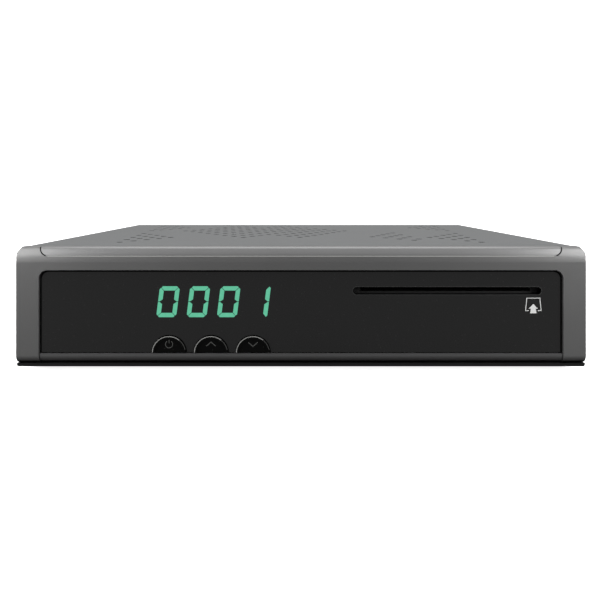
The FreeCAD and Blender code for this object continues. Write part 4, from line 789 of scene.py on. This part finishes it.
class RECEIVER_OT_buttons(bpy.types.Operator):
    """Finish the buttons with their painted rim highlights and their symbols"""

    bl_idname = "receiver.buttons"
    bl_label = "Buttons"

    def execute(self, context):
        look = context.scene.receiver_front
        marks = context.scene.receiver_symbols
        gloss = glossy("button_gloss", (0.002, 0.002, 0.002), roughness=0.16, Specular_IOR_Level=0.1)
        plain = moulded("plunger_plastic", (0.05, 0.05, 0.05))
        # Each rim line is a painted highlight of the light on the button's edge; it runs clockwise, between
        # angles in degrees, and its right end is a dim copy: painted shade.
        rim_highlights = ((178, 52, print_and_highlight("button_rim", look.rim, roughness=0.35)),
                (52, 12, print_and_highlight("button_rim_shaded", [0.15 * part for part in look.rim], roughness=0.35)))
        print_dim = print_and_highlight("button_print", marks.dim)
        for name in BUTTONS:
            low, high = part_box(f"{name}_button")
            repaint(f"{name}_button", gloss)
            repaint(f"{name}_plunger", plain)
            centre = ((low.x + high.x) / 2, low.z)
            radius = (high.x - low.x) / 2 - look.rim_inset - look.rim_width / 2
            foot = PANEL[0].z - 0.15 * MM
            for start, end, rim in rim_highlights:
                line = arc((centre[0], foot), radius, start, end, 32)
                raised(f"{name}_rim_{start}", ribbon(line, look.rim_width), low.y - 0.015 * MM, 0.04 * MM,
                       rim, name)
            shapes = self.symbol(name, (centre[0], low.z + 2.5 * MM), marks.line)
            raised(f"{name}_symbol", shapes, low.y + 0.32 * MM, 0.06 * MM, print_dim, name)
        return {"FINISHED"}

    @staticmethod
    def symbol(name, centre, line):
        """A ring with a bar for power, an arrow head up or down for the channels."""
        x, z = centre
        if name == "power":
            ring = arc(centre, 1.15 * MM, 125, 415, 28)
            bar = [(x, z + 1.5 * MM), (x, z + 0.3 * MM)]
            return ribbon(ring, line * 0.8) + ribbon(bar, line * 0.8)
        way = 1 if name == "channel_up" else -1
        reach, foot, tip = 1.5 * MM, z - 0.6 * MM * way, z + 0.7 * MM * way
        return ribbon([(x - reach, foot), (x, tip), (x + reach, foot)], line * 0.9)


class RECEIVER_OT_card_symbol(bpy.types.Operator):
    """Print the card and arrow symbol under the slot"""

    bl_idname = "receiver.card_symbol"
    bl_label = "Card symbol"

    def execute(self, context):
        marks = context.scene.receiver_symbols
        x, z = PANEL[1].x - marks.card_place[0], PANEL[1].z - marks.card_place[1]
        wide, narrow, barb = 2.5 * MM, 2.1 * MM, 1.45 * MM
        foot, top = z - 2.0 * MM, z + 2.0 * MM
        card = [(x - barb, foot), (x - wide, foot), (x - narrow, top), (x + narrow, top), (x + wide, foot),
                (x + barb, foot)]
        tail, neck, tip = z - 2.85 * MM, z - 1.4 * MM, z + 0.15 * MM
        shaft = [(x - 1.05 * MM, tail), (x - 0.75 * MM, neck), (x + 0.75 * MM, neck), (x + 1.05 * MM, tail)]
        head = [(x - barb, neck), (x, tip), (x + barb, neck)]
        raised("card_symbol", ribbon(card, marks.line * 0.7) + [shaft, head], PANEL[0].y - 0.02 * MM,
               0.04 * MM, print_and_highlight("white_print", marks.bright), "cabinet")
        return {"FINISHED"}


class RECEIVER_OT_cabinet(bpy.types.Operator):
    """Finish the cover, the base pan, the rear panel and the feet"""

    bl_idname = "receiver.cabinet"
    bl_label = "Cabinet"

    def execute(self, context):
        look = context.scene.receiver_cabinet
        repaint("top_cover", painted("cover_paint", look.paint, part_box("top_cover"), look.gauge))
        sheet = zinc("zinc_sheet", look.zinc)
        for node in ("chassis_base", "rear_panel", "card_reader_bracket"):
            repaint(node, sheet)
        repaint("rubber_feet", rubber("foot_rubber", (0.02, 0.02, 0.02)))
        return {"FINISHED"}


class RECEIVER_OT_screws(bpy.types.Operator):
    """Replace the outer screws with cross-recessed ones"""

    bl_idname = "receiver.screws"
    bl_label = "Screws"

    rows = (("cover_screws", 3, "y", (0.04, 0.04, 0.042)), ("bezel_screws", 3, "-z", (0.55, 0.55, 0.56)),
            ("rear_panel_screws", 2, "-z", (0.55, 0.55, 0.56)))

    def execute(self, context):
        radius, rise, shank_radius = 2.8 * MM, 1.7 * MM, 1.4 * MM
        for node, count, axis, colour in self.rows:
            low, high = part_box(node)
            first, last = low.x + radius, high.x - radius
            xs = [first + (last - first) * step / (count - 1) for step in range(count)]
            if axis == "y":
                points = [(x, high.y - rise, (low.z + high.z) / 2) for x in xs]
                shank = high.y - rise - low.y
            else:
                points = [(x, (low.y + high.y) / 2, low.z + rise) for x in xs]
                shank = high.z - rise - low.z
            metal = bare_metal(f"{node}_metal", colour, roughness=0.3)
            growth = screw_growth(f"{node}_tree", radius, rise, shank_radius, shank, axis, metal)
            piece = growth.grow(f"{node}_crossed", points, "cabinet")
            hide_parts(node)
        return {"FINISHED"}


class RECEIVER_OT_aerials(bpy.types.Operator):
    """Wind the threads of the aerial sockets and finish their nuts"""

    bl_idname = "receiver.aerials"
    bl_label = "Aerial sockets"

    def execute(self, context):
        look = context.scene.receiver_cabinet
        nickel = bare_metal("nickel_plate", (0.62, 0.61, 0.58), roughness=0.2)
        low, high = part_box("aerial_barrels")
        radius, middle = (high.z - low.z) / 2, (low.z + high.z) / 2
        root = radius - look.thread_depth
        centres = (low.x + radius, high.x - radius)
        tube = self.tubes(centres, middle, root, look.aerial_bore, low.y, high.y)
        barrel = keep("aerial_tubes", tube, nickel, "cabinet")
        nut_face, gap, bare_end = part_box("aerial_nuts")[1].y, 0.3 * MM, 1.2 * MM
        run = high.y - nut_face - bare_end
        growth = thread_growth("aerial_thread", root, look.thread_pitch, run, run / look.thread_pitch, nickel)
        points = [(x, nut_face + gap, middle) for x in centres]
        thread = growth.grow("aerial_threads", points, "cabinet", "nickel")
        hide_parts("aerial_barrels")
        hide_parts("aerial_barrels")
        for node in ("aerial_nuts", "aerial_washers", "video_shell", "usb_shell", "power_pin"):
            repaint(node, nickel)
        repaint("aerial_insulators", moulded("aerial_white", (0.72, 0.72, 0.68), roughness=0.35))
        return {"FINISHED"}

    @staticmethod
    def tubes(centres, z, outer, inner, back, front):
        """Round tubes along Y with a turned edge at the open end."""
        bevel = 0.25 * MM
        profile = [(inner, back), (outer, back), (outer, front - bevel), (outer - bevel, front),
                   (inner + bevel, front), (inner, front - bevel)]
        steps = 64
        shapes = bmesh.new()
        for x in centres:
            rings = []
            for step in range(steps):
                angle = 2 * math.pi * step / steps
                rings.append([shapes.verts.new((x + r * math.cos(angle), y, z + r * math.sin(angle)))
                              for r, y in profile])
            for here, there in zip(rings, rings[1:] + rings[:1]):
                for index in range(len(profile)):
                    after = (index + 1) % len(profile)
                    shapes.faces.new((here[index], here[after], there[after], there[index]))
        bmesh.ops.recalc_face_normals(shapes, faces=list(shapes.faces))
        mesh = bpy.data.meshes.new("aerial_tubes")
        shapes.to_mesh(mesh)
        shapes.free()
        return mesh


class RECEIVER_OT_sockets(bpy.types.Operator):
    """Finish the rear sockets and set the contacts on their tongues"""

    bl_idname = "receiver.sockets"
    bl_label = "Rear sockets"

    def execute(self, context):
        black = moulded("socket_plastic", (0.018, 0.018, 0.018), roughness=0.42)
        gold = bare_metal("gold_flash", (0.83, 0.62, 0.24), roughness=0.18)
        for node in ("sound_socket", "optical_socket", "optical_shutter", "network_socket", "power_socket",
                     "video_tongue", "usb_tongue", "switch_bases"):
            repaint(node, black)
        repaint("card_reader_frame", moulded("reader_plastic", (0.004, 0.004, 0.004), roughness=0.7))
        repaint("optical_emitter", glossy("emitter_lens", (0.25, 0.01, 0.01)))
        for node in ("network_contacts", "card_contacts"):
            repaint(node, gold)
        edge, rise, thick = 0.4 * MM, 0.02 * MM, 0.08 * MM
        for name, node, count, pitch, width in (("usb_contacts", "usb_tongue", 4, 2.4 * MM, 1.0 * MM),
                                                ("video_contacts", "video_tongue", 10, 1.0 * MM, 0.45 * MM)):
            low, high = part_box(node)
            reach = (high.y - low.y) * 0.55
            point = ((low.x + high.x) / 2, high.y - reach / 2 - edge, low.z - rise)
            growth = row_growth(f"{name}_tree", count, pitch, (width, reach, thick), gold)
            growth.grow(name, [point], "cabinet", "gold_contact")
        return {"FINISHED"}


class RECEIVER_OT_inside(bpy.types.Operator):
    """Finish the boards and the parts on them"""

    bl_idname = "receiver.inside"
    bl_label = "Inside"

    def execute(self, context):
        green = board_mask("board_green", (0.012, 0.10, 0.035))
        tin = bare_metal("tin_plate", (0.66, 0.67, 0.67), roughness=0.28)
        steel = bare_metal("zinc_screw", (0.55, 0.55, 0.56), roughness=0.3)
        chip = moulded("chip_epoxy", (0.03, 0.03, 0.032), roughness=0.6, grain=0.2 * MM)
        looks = {
            "main_board": green, "display_board": green, "tuner_can": tin, "tuner_lid": tin,
            "card_reader_lid": tin, "display_screws": steel, "board_screws": steel, "bracket_screws": steel,
            "processor": chip, "memory_chips": chip,
            "heat_sink": bare_metal("sink_aluminium", (0.72, 0.73, 0.74), 0.34, (1.0, 0.05, 1.0)),
            "standoffs": bare_metal("spacer_brass", (0.66, 0.47, 0.18), 0.26, (1.0, 1.0, 0.1)),
            "capacitors": glossy("capacitor_sleeve", (0.012, 0.016, 0.04), 0.3),
            "power_coils": moulded("coil_ferrite", (0.04, 0.04, 0.042), roughness=0.65),
            "ribbon_cable": moulded("ribbon_white", (0.72, 0.73, 0.72), roughness=0.3, grain=1.0 * MM),
            "ribbon_sockets": moulded("socket_cream", (0.62, 0.57, 0.44), roughness=0.5),
            "remote_eye": glossy("eye_filter", (0.012, 0.004, 0.008)),
        }
        for node, material in looks.items():
            repaint(node, material)
        return {"FINISHED"}


def sky_light(scene):
    """Soft studio light: bright high up, dim from eye level on, grey just below it and dark underneath."""
    world = bpy.data.worlds.new("studio")
    scene.world = world
    world.use_nodes = True
    graph = Graph(world.node_tree)
    graph.tree.nodes.clear()
    way = graph.node("ShaderNodeTexCoord")["Generated"]
    height = graph.node("ShaderNodeSeparateXYZ", {}, {0: way})[2]
    level = height * 0.5 + 0.5
    stops = ((0.0, 0.0), (0.3, 0.05), (0.36, 0.34), (0.44, 0.34), (0.5, 0.16), (0.62, 0.16),
             (0.72, 0.95), (0.86, 0.95), (1.0, 0.8))
    ramp = graph.node("ShaderNodeValToRGB", {"stops": stops}, {0: level})[0]
    light = graph.node("ShaderNodeBackground", {}, {"Color": ramp, "Strength": 1.0})[0]
    output = graph.tree.nodes.new("ShaderNodeOutputWorld")
    graph.tree.links.new(light.socket, output.inputs[0])


class RECEIVER_OT_stage(bpy.types.Operator):
    """Set the pale floor and backdrop, the soft lights and the camera"""

    bl_idname = "receiver.stage"
    bl_label = "Stage"

    def execute(self, context):
        scene = context.scene
        look = scene.receiver_stage
        self.backdrop(scene)
        sky_light(scene)
        scene.view_settings.view_transform = "Standard"
        self.softbox(scene, "overhead", (0.0, -0.04, 0.6), 0.7, look.overhead)
        self.softbox(scene, "behind", (0.0, 0.35, 0.25), 0.3, look.behind).visible_glossy = False
        for side in (-1, 1):
            self.softbox(scene, f"side_{side + 1}", (side * 0.19, -0.16, 0.09), 0.08, look.sides)
        lens = bpy.data.cameras.new("front_view")
        lens.lens = look.lens
        lens.shift_x, lens.shift_y = look.shift
        lens.clip_start = 0.005
        camera = bpy.data.objects.new("front_view", lens)
        camera.location = look.camera
        camera.rotation_euler = (math.pi / 2, 0.0, 0.0)
        scene.collection.objects.link(camera)
        scene.camera = camera
        return {"FINISHED"}

    @staticmethod
    def softbox(scene, name, place, size, power):
        """A square soft light that faces the receiver."""
        lamp = bpy.data.lights.new(name, "AREA")
        lamp.size = size
        lamp.energy = power
        light = bpy.data.objects.new(name, lamp)
        light.location = place
        light.rotation_euler = (Vector((0.0, 0.0, 0.02)) - light.location).to_track_quat("-Z", "Y").to_euler()
        scene.collection.objects.link(light)
        return light

    @staticmethod
    def backdrop(scene):
        """A floor that sweeps up behind into a wall."""
        front, back, sweep, wide, tall = -2.5, 0.9, 0.35, 3.0, 2.2
        profile = [(front, 0.0), *arc((back - sweep, sweep), sweep, -90, 0, 16), (back, tall)]
        points = [(side * wide, y, z) for side in (-1, 1) for y, z in profile]
        count = len(profile)
        faces = [(i, i + 1, count + i + 1, count + i) for i in range(count - 1)]
        mesh = bpy.data.meshes.new("backdrop")
        mesh.from_pydata(points, [], faces)
        mesh.polygons.foreach_set("use_smooth", [True] * len(faces))
        floor = bpy.data.objects.new("backdrop", mesh)
        finish = Finish("pale_paper", Roughness=0.9, Emission_Color=(1.0, 1.0, 1.0, 1.0),
                        Emission_Strength=0.9)
        cloud = finish.noise(0.4, 2.0)
        finish.feed("Base Color", finish.mix(cloud, (0.93, 0.93, 0.93, 1.0), (0.96, 0.96, 0.96, 1.0)))
        mesh.materials.append(finish.material)
        floor.visible_diffuse = False
        floor.visible_glossy = False
        scene.collection.objects.link(floor)


class RECEIVER_PT_pieces(bpy.types.Panel):
    """Lists the steps that dress the receiver"""

    bl_label = "Receiver"
    bl_idname = "RECEIVER_PT_pieces"
    bl_space_type = "VIEW_3D"
    bl_region_type = "UI"
    bl_category = "Receiver"

    def draw(self, context):
        for step in STEPS:
            self.layout.operator(step.bl_idname)
        for name in SETTINGS:
            group = getattr(context.scene, name)
            for field in group.__annotations__:
                self.layout.prop(group, field)


SETTINGS = {
    "receiver_front": FrontSettings,
    "receiver_display": DisplaySettings,
    "receiver_symbols": SymbolSettings,
    "receiver_cabinet": CabinetSettings,
    "receiver_stage": StageSettings,
}
STEPS = (RECEIVER_OT_front, RECEIVER_OT_seams, RECEIVER_OT_digits, RECEIVER_OT_buttons,
         RECEIVER_OT_card_symbol, RECEIVER_OT_cabinet, RECEIVER_OT_screws, RECEIVER_OT_aerials,
         RECEIVER_OT_sockets, RECEIVER_OT_inside, RECEIVER_OT_stage)


def register():
    for group in SETTINGS.values():
        bpy.utils.register_class(group)
    for name, group in SETTINGS.items():
        setattr(bpy.types.Scene, name, PointerProperty(type=group))
    for step in STEPS:
        bpy.utils.register_class(step)
    bpy.utils.register_class(RECEIVER_PT_pieces)


def unregister():
    bpy.utils.unregister_class(RECEIVER_PT_pieces)
    for step in reversed(STEPS):
        bpy.utils.unregister_class(step)
    for name, group in SETTINGS.items():
        delattr(bpy.types.Scene, name)
        bpy.utils.unregister_class(group)


def main():
    register()
    for step in STEPS:
        family, name = step.bl_idname.split(".")
        getattr(getattr(bpy.ops, family), name)()


if __name__ == "__main__":
    main()
